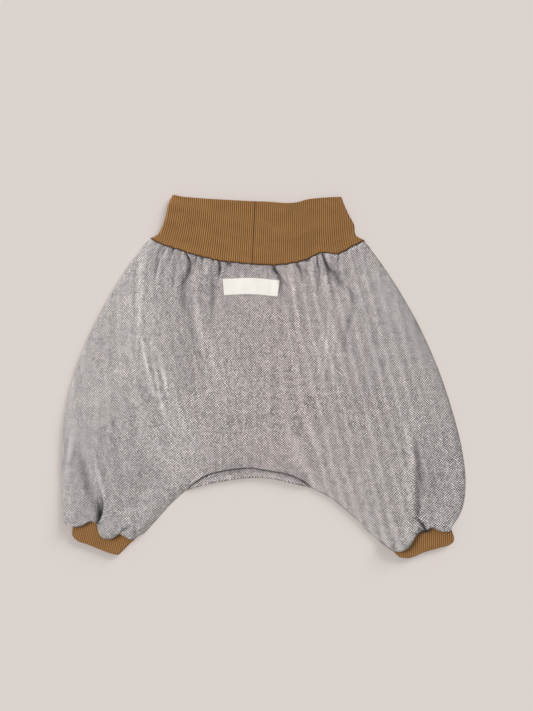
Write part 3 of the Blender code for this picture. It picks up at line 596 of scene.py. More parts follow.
# The knit's valley colour, darker and deeper as painted shade, and its crest colour, paler as a painted
# highlight; then the colour that painted shade at its join and seams mixes towards
CAMEL = ((0.645, 0.447, 0.225), (0.705, 0.525, 0.338))
SHADED_DEEP_CAMEL = (0.24, 0.11, 0.05)
SATIN = ((0.955, 0.93, 0.888), (1.0, 0.985, 0.955))
FLOOR_COLOUR = (0.862, 0.828, 0.808)
BACKDROP_COLOUR = (0.855, 0.823, 0.803)

# Unevenness of the weave's tone: scales across and along, pattern and amount
WEAVE_GRAINS = ((0.62, 0.62, 12, 0.15), (0.02, 0.02, 6, 0.04))
STREAK_GRAINS = ((0.42, 0.11, 8, 0.1), (0.22, 0.012, 2, 0.05))

# Camera: the photo's frame covers this much of the surface, centred here
FRAME_HEIGHT = 639.9
FRAME_CENTRE = (2.7, 18.45)
CAMERA_HEIGHT = 1600.0
SENSOR = 36.0

# The floor, in metres: half its width, and how far it lies below the garment
FLOOR_HALF = 60.0
FLOOR_DROP = 0.0002

# Light: from all round, then suns: name, strength, angle, where from, what they light, and shadows
AMBIENT = 0.30
SUNS = [
    ("key", 2.05, 25.0, (-0.68, 0.24, 0.69), "garment", True),
    ("fill", 0.79, 60.0, (0.30, 0.45, 0.84), "garment", True),
    ("surface_light", 1.35, 60.0, (0.0, 0.0, 1.0), "surface", False),
    ("surface_shadow", 2.15, 27.0, (0.65, 0.65, 0.385), "surface", True),
]

random = np.random.default_rng(11)


def curve_through(points, shares):
    """Points of one smooth curve through the given points, at shares of its length."""
    knots = np.array(points, float)
    steps = np.linalg.norm(np.diff(knots, axis=0), axis=1)
    at = np.concatenate([[0.0], np.cumsum(steps)]) / steps.sum()
    slopes = np.gradient(knots, at, axis=0)
    shares = np.clip(np.asarray(shares, float), 0, 1)
    first = np.clip(np.searchsorted(at, shares, side="right") - 1, 0, len(at) - 2)
    span = (at[first + 1] - at[first])[:, None]
    q = (shares - at[first])[:, None] / span
    return (
        (1 + 2 * q) * (1 - q) ** 2 * knots[first]
        + q * (1 - q) ** 2 * span * slopes[first]
        + q**2 * (3 - 2 * q) * knots[first + 1]
        + q**2 * (q - 1) * span * slopes[first + 1]
    )


def bell(distance, width):
    """1 at no distance, and less the further away, on a scale of this width."""
    return np.exp(-((distance / width) ** 2))


def smooth_step(value):
    value = np.clip(value, 0, 1)
    return value * value * (3 - 2 * value)


def ramp(value, start, whole):
    """Rises smoothly from 0 at the start to 1 where it is whole."""
    return smooth_step((value - start) / (whole - start))


def eased_table(x, rows):
    """Reads a table of (x, value) rows, easing in and out of each row."""
    places, values = np.array(rows, float).T
    after = np.clip(np.searchsorted(places, x), 1, len(places) - 1)
    share = (x - places[after - 1]) / (places[after] - places[after - 1])
    return values[after - 1] + (values[after] - values[after - 1]) * smooth_step(share)


def fit_ends(line, start, end, shares):
    """Shifts a line of points a little, so that it starts and ends at the given points."""
    shares = np.asarray(shares, float)[:, None]
    return line + (1 - shares) * (start - line[0]) + shares * (end - line[-1])


def patch(top, bottom, left, right, across, down):
    """Fills four edges with a grid of points, in rows from the top edge to the bottom one."""
    left = fit_ends(left, top[0], bottom[0], down)
    right = fit_ends(right, top[-1], bottom[-1], down)
    u = np.asarray(across, float)[None, :, None]
    v = np.asarray(down, float)[:, None, None]
    ruled = (1 - v) * top[None] + v * bottom[None]
    sides = (1 - u) * left[:, None] + u * right[:, None]
    corners = (1 - v) * ((1 - u) * top[0] + u * top[-1]) + v * ((1 - u) * bottom[0] + u * bottom[-1])
    return ruled + sides - corners


def columns(counts):
    """Shares across a panel: each hem and the crotch have their own count, and the sides some more."""
    left, middle, right = counts
    sides = np.array(SIDE_SHARES)
    return np.unique(np.concatenate([
        np.linspace(0, HEM_SHARE, left, endpoint=False), sides,
        np.linspace(HEM_SHARE, 1 - HEM_SHARE, middle, endpoint=False),
        np.linspace(1 - HEM_SHARE, 1, right + 1), 1 - sides,
    ]))


def fine_rows(steps):
    """Shares down a panel: close rows by the seam, then this many steps between the main rows."""
    parts = [
        np.linspace(a, b, count, endpoint=False)
        for a, b, count in zip(ROW_SHARES[:-1], ROW_SHARES[1:], steps)
    ]
    return np.concatenate([SEAM_SHARES, *parts, [1.0]])


def waist_seam(shares):
    """The waist seam's line, drawn in a little at each gather."""
    line = curve_through(WAIST_SEAM, shares)
    for place, depth, *_ in PUCKERS:
        line[:, 1] -= SCALLOP * min(depth, MOST_PUCKER) * bell(line[:, 0] - place, SCALLOP_WIDTH)
    return line


def bent_line(rows, shares):
    """Points of a line that is straight between its rows of (share, x, y)."""
    at, x, y = np.array(rows).T
    return np.stack([np.interp(shares, at, x), np.interp(shares, at, y)], axis=1)


def lower_edge(left_hem, crotch, right_hem, across, hem_line):
    """The lower outline of a panel at each column, and which columns are on each leg's hem."""
    on_left = across < HEM_SHARE
    on_right = across >= 1 - HEM_SHARE
    middle = ~on_left & ~on_right
    edge = np.empty((len(across), 2))
    edge[on_left] = hem_line(left_hem, across[on_left] / HEM_SHARE)
    edge[middle] = curve_through(crotch, (across[middle] - HEM_SHARE) / (1 - 2 * HEM_SHARE))
    edge[on_right] = hem_line(right_hem, (across[on_right] - 1 + HEM_SHARE) / HEM_SHARE)
    return edge, on_left, on_right


def outward(edge, window):
    """Level directions that point out of the lower edge, smoothed over some columns."""
    ahead = np.minimum(np.arange(len(edge)) + window, len(edge) - 1)
    behind = np.maximum(np.arange(len(edge)) - window, 0)
    along = edge[ahead] - edge[behind]
    normal = np.stack([along[:, 1], -along[:, 0]], axis=1)
    return normal / np.linalg.norm(normal, axis=1)[:, None]


def share_nearest(outline, point):
    """The share of a smooth outline's length at which it passes nearest to a point."""
    shares = np.linspace(0, 1, OUTLINE_SAMPLES)
    return shares[np.linalg.norm(curve_through(outline, shares) - point, axis=1).argmin()]


def distance_to(points, outline):
    """How far each point lies from a smooth outline."""
    line = curve_through(outline, np.linspace(0, 1, OUTLINE_SAMPLES))
    return np.linalg.norm(points[:, None] - line[None], axis=2).min(axis=1)


def chord_direction(hem):
    start, end = np.array(hem[0]), np.array(hem[-1])
    along = (end - start) / np.linalg.norm(end - start)
    return np.array([along[1], -along[0]])


def fold_of(strip):
    """The crotch fold for a strip this wide: how far it has turned, and its radius."""
    turned = ramp(strip, FOLD_START, FOLD_WHOLE)
    grown = ramp(strip, FOLD_WHOLE, FOLD_GROWN)
    return turned, LEAST_FOLD_RADIUS + (FOLD_RADIUS - LEAST_FOLD_RADIUS) * grown


def rim(turn, radius, flat):
    """A rim that turns through an angle and then runs flat: out, down, angle and length so far."""
    turned = np.maximum(radius * turn, RIM_TURN) / RIM_TURN_ROWS
    whole = ramp(turn / math.pi, NEARLY_TURNED, 1)
    flat = RIM_FLAT + np.maximum(flat - RIM_FLAT, 0) * whole
    zero = np.zeros_like(turn)
    out, drop, angle, length = [zero], [zero], [zero], [zero]
    for row in range(RIM_TURN_ROWS):
        heading = turn * (row + 0.5) / RIM_TURN_ROWS
        out.append(out[-1] + turned * np.cos(heading))
        drop.append(drop[-1] + turned * np.sin(heading))
        angle.append(turn * (row + 1) / RIM_TURN_ROWS)
        length.append(length[-1] + turned)
    out.append(out[-1] + flat * np.cos(turn))
    drop.append(drop[-1] + flat * np.sin(turn))
    angle.append(turn)
    length.append(length[-1] + flat)
    return np.array(out), np.array(drop), np.array(angle), np.array(length)


def reach_of(rim_rows):
    """How far the rim's outer face stands out from where the rim starts."""
    out, _, angle, _ = rim_rows
    return (out + CLOTH / 2 * np.sin(angle)).max(axis=0)


def along_path(points, start, bend, end, reach):
    """The points within reach of a bent path: which they are, how far, at which share, on which side.

    The side is 1 to the left of the way the path runs, and -1 to its right.
    """
    corners = np.array((start, bend, end))
    steps = np.linspace(0, 1, FOLD_SAMPLES)[:, None]
    path = (1 - steps) ** 2 * corners[0] + 2 * steps * (1 - steps) * corners[1] + steps**2 * corners[2]
    inside = (points > path.min(axis=0) - reach) & (points < path.max(axis=0) + reach)
    near = inside.all(axis=-1)
    points = points[near]
    nearest = np.full(len(points), np.inf)
    share = np.zeros(len(points))
    side = np.zeros(len(points))
    for i in range(FOLD_SAMPLES - 1):
        run = path[i + 1] - path[i]
        gone = points - path[i]
        on = np.clip(gone @ run / (run @ run), 0, 1)
        away = np.linalg.norm(gone - on[:, None] * run, axis=1)
        closer = away < nearest
        nearest = np.where(closer, away, nearest)
        share = np.where(closer, (i + on) / (FOLD_SAMPLES - 1), share)
        side = np.where(closer, np.sign(run[0] * gone[:, 1] - run[1] * gone[:, 0]), side)
    along = np.sin(math.pi * np.clip(share, FOLD_END_SHARE, 1 - FOLD_END_SHARE))
    return near, nearest, np.sqrt(along), side


def fold_relief(points, folds):
    """Sum of soft folds at each point."""
    height = np.zeros(points.shape[:-1])
    for start, bend, end, width, rise in folds:
        near, nearest, along, _ = along_path(points, start, bend, end, 3 * width)
        height[near] += rise * bell(nearest, width) * along
    return height


def step_relief(points):
    """Height of the small steps at each point, and the painted light and shade that lighten or darken the
    cloth along them.
    """
    height = np.zeros(points.shape[:-1])
    tone = np.ones(points.shape[:-1])
    for start, bend, end, width, slope in STEPS:
        near, nearest, along, side = along_path(points, start, bend, end, 3 * width)
        signed = nearest * side
        height[near] += slope * signed * bell(signed, width) * along
        tone[near] += STEP_PAINTED_LIGHT * slope * bell(signed / width, STEP_PAINTED_LIGHT_WIDTH) * along
    return height, tone


def painted_crease_shade(points):
    """The painted shade of the deep creases: how much of the light each point keeps."""
    light = np.ones(points.shape[:-1])
    for start, bend, end, width, _, dark, sharp in DEEP_LINES:
        near, nearest, along, side = along_path(points, start, bend, end, 4 * width)
        if sharp == BOTH_SIDES:
            lost = np.exp(-((nearest / width) ** 4))
        else:
            softer = np.where(side * sharp < 0, SOFT_SIDE, 1)
            lost = bell(nearest, width * np.where(side * sharp > 0, SHARP_SIDE, softer))
        light[near] *= 1 - dark * lost * along
    return light


def lapped(points, height, fade):
    """Raises one side of each lap's path, hollows the other and lets the raised side hang over; paints
    shade into the hollow.
    """
    moved = points.copy()
    height = height.copy()
    tone = np.ones(height.shape)
    for start, bend, end, depth, hollow, rise, width, overhang, dark in LAPS:
        near, nearest, along, side = along_path(points, start, bend, end, 3 * hollow)
        signed = nearest * side
        raised = smooth_step(signed / LAP_EDGE + 0.5)
        lap = rise * bell(signed, width) * raised
        low = depth * bell(signed, hollow) * (1 - raised)
        height[near] += along * (lap - low) * fade[near]
        chord = np.array(end) - np.array(start)
        to_left = np.array([-chord[1], chord[0]]) / np.linalg.norm(chord)
        lean = overhang * along * bell(signed - LAP_EDGE / 2, LAP_EDGE) * fade[near]
        moved[near] -= lean[:, None] * to_left
        tone[near] *= 1 - dark * along * bell(signed / hollow, LAP_PAINTED_SHADE_WIDTH) * (1 - raised)
    return moved, height, tone


def pucker_relief(seam_x, below, puckers, narrow=1.0):
    """Depth of the gathers: seam_x is where a column meets the seam, below is how far down it is."""
    height = np.zeros(below.shape)
    grown = PUCKER_AT_SEAM + (1 - PUCKER_AT_SEAM) * (1 - np.exp(-below / PUCKER_RISE))
    for place, depth, width, reach, lean in puckers:
        aside = seam_x - place - lean * np.minimum(below / reach, PUCKER_LEAN_END)
        height -= depth * grown * np.exp(-below / reach) * bell(aside, width * narrow)
    return height


def small_gathers():
    """Uneven little gathers between the main ones."""
    rows = []
    place, last = GATHER_SPAN
    while place < last:
        place += random.uniform(*GATHER_SPACING)
        reach = random.uniform(*GATHER_REACH)
        lean = random.uniform(*GATHER_TILT) - place * reach / GATHER_LEAN
        depth = random.uniform(*GATHER_DEPTH)
        rows.append((place, depth, random.uniform(*GATHER_WIDTH), reach, lean))
    return rows


def rolling(points, size, amount, stretch):
    """Smooth uneven swells about this size, longer one way than the other."""
    height = np.zeros(points.shape[:-1])
    for _ in range(SWELL_WAVES):
        heading = random.uniform(*SWELL_TURN)
        wave = 2 * math.pi / (size * random.uniform(*SWELL_SIZES))
        phase = random.uniform(0, 2 * math.pi)
        x = points[..., 0] * math.cos(heading) + points[..., 1] * math.sin(heading)
        y = -points[..., 0] * math.sin(heading) + points[..., 1] * math.cos(heading)
        sway = np.sin(y * wave / stretch + random.uniform(0, 6))
        height += np.sin(x * wave + phase + SWELL_SWAY * sway)
    return amount * height / SWELL_WAVES**0.5


def stripes(points):
    """Where each point lies across and along the faint stripes, and how clear they are there."""
    x, y = points[..., 0], points[..., 1]
    down = LEAN_BELOW - y
    to_left = bell(x - LEFT_LEAN_PLACE, LEFT_LEAN_WIDTH)
    lean = RIGHT_LEAN * ramp(x, *RIGHT_LEAN_SPAN) * down + LEFT_LEAN * to_left * np.maximum(down, 0.0)
    clear = LEAST_CLEAR + (1 - LEAST_CLEAR) * ramp(x, *CLEAR_SPAN)
    clear += patch_tone(points, *CLEAR_PATCH)
    clear = clear * (1 - FAINT_SIDE * ramp(x, *FAINT_SPAN))
    return np.stack([x - lean, y, clear], axis=-1)


def patch_tone(points, x, y, wide, tall, tone):
    """Tone of one soft oval patch at each point."""
    return tone * np.exp(-(((points[..., 0] - x) / wide) ** 2) - ((points[..., 1] - y) / tall) ** 2)


def fade_in(to_side, above, below, reaches):
    """1 inside a panel, less within these reaches of its sides, its lower edge and its seam."""
    fade = smooth_step(to_side / reaches[0]) * smooth_step(above / reaches[1])
    return fade * smooth_step(below / reaches[2])


def fine_relief(points, below, above, to_side):
    """What the shell adds to the solid's form: creases, stripes, swells and the side seams' ridges."""
    height = fold_relief(points, CREASES)
    place = stripes(points)
    sway = STRIPE_SWAY * np.sin(points[..., 1] / SWAY_DOWN + points[..., 0] / SWAY_ACROSS)
    height += STRIPE_RELIEF * place[..., 2] * np.sin(place[..., 0] / STRIPE * 2 * math.pi + sway)
    for size, amount, stretch in SWELLS:
        height += rolling(points, size, amount, stretch)
    ridge = ALLOWANCE * bell(to_side - ALLOWANCE_PLACE, ALLOWANCE_WIDTH)
    height += ridge * ramp(below, *ALLOWANCE_START) * ramp(above, *ALLOWANCE_END)
    return height * fade_in(to_side, above, below, FINE_FADES)


def distances(points, across):
    """How far each point of a panel is from the seam and the lower edge along its column, and from
    the nearer side."""
    rows = np.linalg.norm(np.diff(points, axis=0), axis=2)
    below = np.concatenate([np.zeros((1, len(across))), np.cumsum(rows, axis=0)])
    width = np.linalg.norm(points[:, -1] - points[:, 0], axis=1)[:, None]
    return below, below[-1] - below, np.minimum(across, 1 - across) * width


def panel_height(points, across, seam, hem_weight, lobe, plain_edge):
    """Height of the upper panel's mid surface over a grid of points."""
    below, above, to_side = distances(points, across)
    end = plain_edge + (lobe - plain_edge) * hem_weight
    body = BODY_HEIGHT + fold_relief(points, FOLDS)
    from_crotch = 1 - np.exp(-above / CROTCH_RISE)
    risen = from_crotch + hem_weight * (smooth_step(above / HEM_RISE) - from_crotch)
    height = end + (body - end) * risen
    height = WAIST_HEIGHT + (height - WAIST_HEIGHT) * (1 - np.exp(-below / WAIST_RISE))
    bulge = below / WAIST_BULGE_PLACE
    height += pucker_relief(seam[:, 0], below, PUCKERS) + WAIST_BULGE * bulge * np.exp(1 - bulge)
    lift = np.where(across < 0.5, LEFT_CORNER_LIFT, RIGHT_CORNER_LIFT)
    side = EDGE_HEIGHT + lift * bell(above, CORNER_LIFT_REACH)
    height = side + (height - side) * (1 - np.exp(-to_side / SIDE_RISE))
    return np.maximum(height, EDGE_HEIGHT), below, above, to_side


def hem_corner_weight(edge, span):
    """How far a hem's lobes have grown at each of its columns, from either corner."""
    part = edge[span]
    steps = np.linalg.norm(np.diff(part, axis=0), axis=1)
    along = np.concatenate([[0.0], np.cumsum(steps)])
    return smooth_step(np.minimum(along, along[-1] - along) / HEM_CORNER)


def turned_rim(start, height, out, rim_rows, up):
    """Mid surface and facing of a rim: up is 1 where it turns down, and -1 where it turns up."""
    level, drop, angle, _ = (rows[1:, :, None] for rows in rim_rows)
    mid = np.concatenate([start[None] + level * out[None], height[None, :, None] - up * drop], axis=2)
    facing = np.concatenate([np.sin(angle) * out[None], up * np.cos(angle)], axis=2)
    return mid, facing


def grain(flat, shade):
    """Weave coordinates in millimetres, across the grain and along it, with the painted shade and light."""
    x = flat[..., 0] - GRAIN_CENTRE[0]
    y = GRAIN_CENTRE[1] - flat[..., 1]
    return np.stack([GRAIN_RADIUS * np.arctan2(x, y), np.hypot(x, y), shade], axis=-1)


def rolled(distance, radius):
    """How far an edge has rolled down at a distance from it: 1 at the edge, 0 from the radius on."""
    inside = 1 - np.clip(distance / radius, 0, 1)
    return 1 - np.sqrt(1 - inside**2)


def grid_normals(grid):
    """Unit normals of a grid of points that runs rightwards and then downwards."""
    normal = np.cross(np.gradient(grid, axis=0), np.gradient(grid, axis=1))
    return normal / np.maximum(np.linalg.norm(normal, axis=2)[..., None], 1e-9)


def shell(name, outer, inner, weave, streak, look, replaced):
    """A closed thin shell between two grids of points; its inner face has every second point."""
    lines, count = outer.shape[:2]
    some = [np.unique(np.append(np.arange(0, n, 2), n - 1)) for n in (lines, count)]
    inner_lines, inner_count = len(some[0]), len(some[1])
    below = lines * count

    def quads(rows, across, first):
        a = (np.arange(rows - 1)[:, None] * across + np.arange(across - 1)[None]).ravel() + first
        return np.stack([a, a + 1, a + across + 1, a + across], axis=1)

    faces = quads(lines, count, 0).tolist()
    faces += quads(inner_lines, inner_count, below)[:, ::-1].tolist()

    def border(rows, across):
        """Places of the border points, once round, as (row, column)."""
        top = [(0, i) for i in range(across)]
        right = [(j, across - 1) for j in range(1, rows)]
        bottom = [(rows - 1, i) for i in range(across - 2, -1, -1)]
        left = [(j, 0) for j in range(rows - 2, 0, -1)]
        return top + right + bottom + left

    ring = [j * count + i for j, i in border(lines, count)]
    at = {vertex: place for place, vertex in enumerate(ring)}
    inner_ring = border(inner_lines, inner_count)
    for k, (j, i) in enumerate(inner_ring):
        next_j, next_i = inner_ring[(k + 1) % len(inner_ring)]
        start = at[some[0][j] * count + some[1][i]]
        stop = at[some[0][next_j] * count + some[1][next_i]]
        stop += len(ring) if stop < start else 0
        between = [ring[n % len(ring)] for n in range(start, stop + 1)]
        faces.append([below + j * inner_count + i, below + next_j * inner_count + next_i] + between[::-1])
    thin = np.ix_(*some)
    vertices = np.concatenate([outer.reshape(-1, 3), inner[thin].reshape(-1, 3)])
    inner_weave = weave[thin] + (SHEET, SHEET, 0.0)
    weave = np.concatenate([weave.reshape(-1, 3), inner_weave.reshape(-1, 3)])
    streak = np.concatenate([streak.reshape(-1, 3), streak[thin].reshape(-1, 3)])
    return put_in_scene(name, vertices, faces, weave, streak, look, replaced)


def put_in_scene(name, vertices, faces, weave, streak, look, replaced):
    """One piece from points in millimetres, facing out, in place of its CAD node."""
    mesh = bpy.data.meshes.new(name)
    mesh.from_pydata(((vertices - MIDDLE) * METRES).tolist(), [], faces)
    mesh.update()
    if signed_volume(mesh) < 0:
        mesh.flip_normals()
    mesh.shade_smooth()
    for title, values in (("weave", weave), ("streak", streak)):
        if values is not None:
            layer = mesh.attributes.new(title, "FLOAT_VECTOR", "POINT")
            layer.data.foreach_set("vector", values.astype(np.float32).ravel())
    piece = bpy.data.objects.new(name, mesh)
    mesh.materials.append(look)
    bpy.context.scene.collection.objects.link(piece)
    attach(piece, "root")
    if replaced:
        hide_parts(replaced)
    return piece


def signed_volume(mesh):
    mesh.calc_loop_triangles()
    points = np.empty(len(mesh.vertices) * 3)
    mesh.vertices.foreach_get("co", points)
    points = points.reshape(-1, 3)
    corners = np.empty(len(mesh.loop_triangles) * 3, int)
    mesh.loop_triangles.foreach_get("vertices", corners)
    a, b, c = points[corners.reshape(-1, 3)].transpose(1, 0, 2)
    return float(np.einsum("ij,ij->i", a, np.cross(b, c)).sum())


def front_cloth(look):
    across = columns(FRONT_COLUMNS)
    down = fine_rows(FRONT_ROW_STEPS)
    seam = waist_seam(across)
    edge, on_left, on_right = lower_edge(LEFT_HEM, CROTCH_SEAM, RIGHT_HEM, across, curve_through)
    on_hem = on_left | on_right
    weight = np.zeros(len(across))
    weight[on_left] = hem_corner_weight(edge, on_left)
    weight[on_right] = hem_corner_weight(edge, on_right)
    left_half = across < 0.5
    lobe = np.where(left_half, eased_table(edge[:, 0], LEFT_LOBES), eased_table(edge[:, 0], RIGHT_LOBES))
    in_strip, fold_radius = fold_of(distance_to(edge, CROTCH_EDGE) * ~on_hem)
    corners = np.array([LEFT_HEM[-1], RIGHT_HEM[0]])
    from_corner = np.linalg.norm(edge[:, None] - corners[None], axis=2).min(axis=1)
    over_fold = np.maximum(CLOTH / 2 + 2 * fold_radius, EDGE_HEIGHT)
    plain = EDGE_HEIGHT + in_strip * (over_fold - EDGE_HEIGHT)
    plain = plain + INSEAM_LIFT * bell(from_corner, INSEAM_LIFT_REACH)
    for corner, lift in ((LEFT_HEM[0], LEFT_CORNER_LIFT), (RIGHT_HEM[-1], RIGHT_CORNER_LIFT)):
        plain = plain + lift * bell(np.linalg.norm(edge - corner, axis=1), CORNER_LIFT_REACH)
    left, right = curve_through(LEFT_SIDE, down), curve_through(RIGHT_SIDE, down)

    def laid(bottom):
        points = patch(seam, bottom, left, right, across, down)
        return points, *panel_height(points, across, seam, weight, lobe, plain)

    above_tuck = laid(edge)[1][-1] - TUCK_HEIGHT
    turned = ramp(above_tuck, TURN_START, TURN_WHOLE) * on_hem
    rim_rows = rim(math.pi * turned, np.maximum(above_tuck, LEAST_DROP) / 2, HEM_TUCK * weight)

    towards = np.where(left_half[:, None], chord_direction(LEFT_HEM), chord_direction(RIGHT_HEM))
    mostly = np.where(on_hem, 1.0, np.exp(-from_corner / CORNER_BLEND))[:, None]
    out = mostly * towards + (1 - mostly) * outward(edge, FRONT_WINDOW)
    out /= np.linalg.norm(out, axis=1)[:, None]
    bottom = edge - out * reach_of(rim_rows)[:, None]

    # The surface, with all its gathers, creases and laps
    points, height, below, above, to_side = laid(bottom)
    height = height + fine_relief(points, below, above, to_side)
    small = small_gathers()
    from_side = smooth_step(to_side / SIDE_FADE)
    height = height + pucker_relief(seam[:, 0], below, small) * from_side
    sharp = SHARP_PUCKERS * pucker_relief(seam[:, 0], below, PUCKERS, SHARP_PUCKER_WIDTH)
    steps, step_painted_light = step_relief(points)
    height = height + sharp + steps * from_side * smooth_step(above / EDGE_FADE)
    grooves = [(*bends, GROOVE_WIDTH * width, -depth) for *bends, width, depth, _, _ in DEEP_LINES]
    from_edge = smooth_step(above / GROOVE_FADE)
    height = height + fold_relief(points, grooves) * from_edge
    moved, height, lap_painted_shade = lapped(points, height, from_edge)
    height = np.maximum(height, EDGE_HEIGHT)
    mid = np.concatenate([moved, height[..., None]], axis=2)
    near_rim = np.exp(-above / NEAR_RIM)[..., None]
    facing = grid_normals(mid) * (1 - near_rim) + np.array((0.0, 0.0, 1.0)) * near_rim
    rim_mid, rim_facing = turned_rim(moved[-1], height[-1], out, rim_rows, 1)
    outer = np.concatenate([mid + CLOTH / 2 * facing, rim_mid + CLOTH / 2 * rim_facing])

    # Roll the edges down: the sides and leg seams to the lower panel, the waist and crotch into a groove
    length = rim_rows[3][1:]
    whole_below = np.concatenate([below, below[-1] + length])
    to_end = whole_below[-1] - whole_below
    to_side = np.concatenate([to_side, np.repeat(to_side[-1:], len(length), axis=0)])
    side_height = np.where(left_half, outer[:, :1, 2], outer[:, -1:, 2])
    clear = ramp(to_end, *HEM_CLEAR)
    side_drop = np.maximum(side_height - LOWEST_EDGE, 0) * clear + CORNER_DROP * (1 - clear)
    by_corner = bell(from_corner, CORNER_REACH)
    leg_drop = np.maximum(outer[-1, :, 2] - LOWEST_EDGE, 0) * (1 - by_corner) + CORNER_DROP * by_corner
    end_drop = (in_strip * SEAM_DROP + (1 - in_strip) * leg_drop) * ~on_hem
    end_drop += CORNER_DROP * (1 - turned) * on_hem
    end_roll = SIDE_ROLL + (SEAM_ROLL - SIDE_ROLL) * in_strip
    lowered = np.maximum.reduce([
        side_drop * rolled(to_side, SIDE_ROLL),
        end_drop * rolled(to_end, end_roll),
        WAIST_DROP * rolled(whole_below, SEAM_ROLL),
    ])
    outer[..., 2] = np.maximum(outer[..., 2] - lowered, np.minimum(outer[..., 2], LOWEST_EDGE))
    inner = outer - SHEET * grid_normals(outer)

    # Painted shade in the gathers, creases, laps and seams, painted light and shade along the steps, and
    # paler and darker patches that are partly the cloth's own tone and partly painted light and shade
    flat = np.concatenate([points, bottom[None] + length[..., None] * out[None]])
    shade = 1 + PUCKER_PAINTED_SHADE * pucker_relief(seam[:, 0], whole_below, PUCKERS, PUCKER_PAINTED_SHADE_WIDTH)
    shade += GATHER_PAINTED_SHADE * pucker_relief(seam[:, 0], whole_below, small, PUCKER_PAINTED_SHADE_WIDTH)
    shade *= painted_crease_shade(flat)
    shade[:len(points)] *= step_painted_light * lap_painted_shade
    for row in TONE_AND_LIGHT_PATCHES:
        shade *= 1 + patch_tone(flat, *row)
    shade *= 1 - WAIST_GROOVE_PAINTED_SHADE[0] * bell(whole_below, WAIST_GROOVE_PAINTED_SHADE[1])
    shade *= 1 - CROTCH_GROOVE_PAINTED_SHADE[0] * in_strip * bell(to_end, CROTCH_GROOVE_PAINTED_SHADE[1])
    weave = grain(flat, np.clip(shade, *SHADE_RANGE))
    return shell("front_cloth", outer, inner, weave, stripes(flat), look, "front_panel")


def back_cloth(look):
    across = columns(BACK_COLUMNS)
    down = fine_rows(BACK_ROW_STEPS)
    seam = waist_seam(across)
    edge, on_left, on_right = lower_edge(BACK_LEFT_HEM, CROTCH_EDGE, BACK_RIGHT_HEM, across, bent_line)
    on_crotch = ~(on_left | on_right)
    strip = distance_to(edge, CROTCH_SEAM) * on_crotch
    turned, radius = fold_of(strip)
    flat_length = strip - radius - CLOTH / 2 - SEAM_GAP - STRIP_MARGIN
    rim_rows = rim(math.pi * turned, radius, flat_length)
    out = outward(edge, BACK_WINDOW)
    lip = ramp(strip, LEAST_LIP, FOLD_START)
    inset = BACK_LEG_INSET * (1 - lip) * on_crotch
    bottom = edge - out * (reach_of(rim_rows) + inset)[:, None]
    left = curve_through(LEFT_SIDE, down * share_nearest(LEFT_SIDE, edge[0])) + (BACK_SIDE_INSET, 0)
    right = curve_through(RIGHT_SIDE, down * share_nearest(RIGHT_SIDE, edge[-1])) - (BACK_SIDE_INSET, 0)
    points = patch(seam - (0, BACK_SEAM_INSET), bottom, left, right, across, down)
    below, above, to_side = distances(points, across)
    lift = 0.0
    for size, amount, stretch, cut_off in BACK_SWELLS:
        lift = lift + np.maximum(rolling(points, size, amount, stretch) - cut_off, 0)
    gathers = -pucker_relief(seam[:, 0], below, small_gathers() + PUCKERS[::3])
    gathers = np.minimum(gathers, 1.0) * smooth_step(to_side / BACK_GATHERS_FADE)
    lift = lift * fade_in(to_side, above, below, BACK_FADES) + gathers
    mid = np.concatenate([points, (CLOTH / 2 + lift)[..., None]], axis=2)
    rim_mid, rim_facing = turned_rim(bottom, CLOTH / 2 + lift[-1], out, rim_rows, -1)
    facing = np.concatenate([np.broadcast_to((0.0, 0.0, -1.0), mid.shape), rim_facing])
    outer = np.concatenate([mid, rim_mid]) + CLOTH / 2 * facing
    level, drop, _, length = (rows[1:] for rows in rim_rows)
    wall = (drop[-1] - drop)[..., None] * (0.0, 1.0)
    flat = np.concatenate([points, bottom[None] + level[..., None] * out[None] + wall])
    to_end = length[-1] - length
    sunk = bell(to_end / SEAM_ROLL * GROOVE_SHARPNESS, 1) * (turned > WHOLLY_TURNED)
    outer[-len(length):, :, 2] -= STRIP_DROP * sunk
    # Painted shade in the seam's groove, and painted light over the rest of the strip
    shade = np.ones(flat.shape[:-1])
    shade[-len(length):] += STRIP_PAINTED_LIGHT - STRIP_GROOVE_PAINTED_SHADE * sunk
    inner = outer - SHEET * facing
    weave = grain(flat, shade)
    return shell("back_cloth", outer, inner, weave, stripes(flat), look, "back_panel")


def waist_grid(shares, down):
    across = columns(FRONT_COLUMNS)
    seam = waist_seam(across)
    along = WING + shares * (1 - 2 * WING)
    lower = np.stack([np.interp(along, across, seam[:, i]) for i in (0, 1)], axis=1)
    lower += (0, SEAM_GAP + SEAM_SLOPE_MARGIN)
    lower[:, 0] += WING_TIP * (np.exp((shares - 1) / WING_TIP_SHARE) - np.exp(-shares / WING_TIP_SHARE))
    return patch(
        curve_through(WAIST_TOP, shares), lower,
        curve_through(WAIST_LEFT, down), curve_through(WAIST_RIGHT, down), shares, down,
    )


def waist_rib(x, y):
    """Number of the rib at a point: the ribs run straight down and end at the folded sides."""
    down = RIB_START - y
    fanned = RIB_FAN * np.clip(down / RIB_FAN_LENGTH, 0, RIB_FAN_END) ** 2
    return (x - fanned * x * np.abs(x) / RIB_FAN_WIDTH**2 + RIB_LEAN * down) / RIB_PITCH


def cuff_grid(outline, shares, down):
    return patch(
        curve_through(outline["seam"], shares), curve_through(outline["free"], shares),
        curve_through(outline["left"], down), curve_through(outline["right"], down), shares, down,
    )


def cuff_rib(lean, x, y):
    return (x - lean * y) / RIB_PITCH


def rib_profile(phase):
    """Height share across one rib: a rounded wale with a narrow valley on each side."""
    away = np.abs(phase - np.floor(phase) - 0.5) * 2
    return 1 - away**RIB_ROUNDNESS


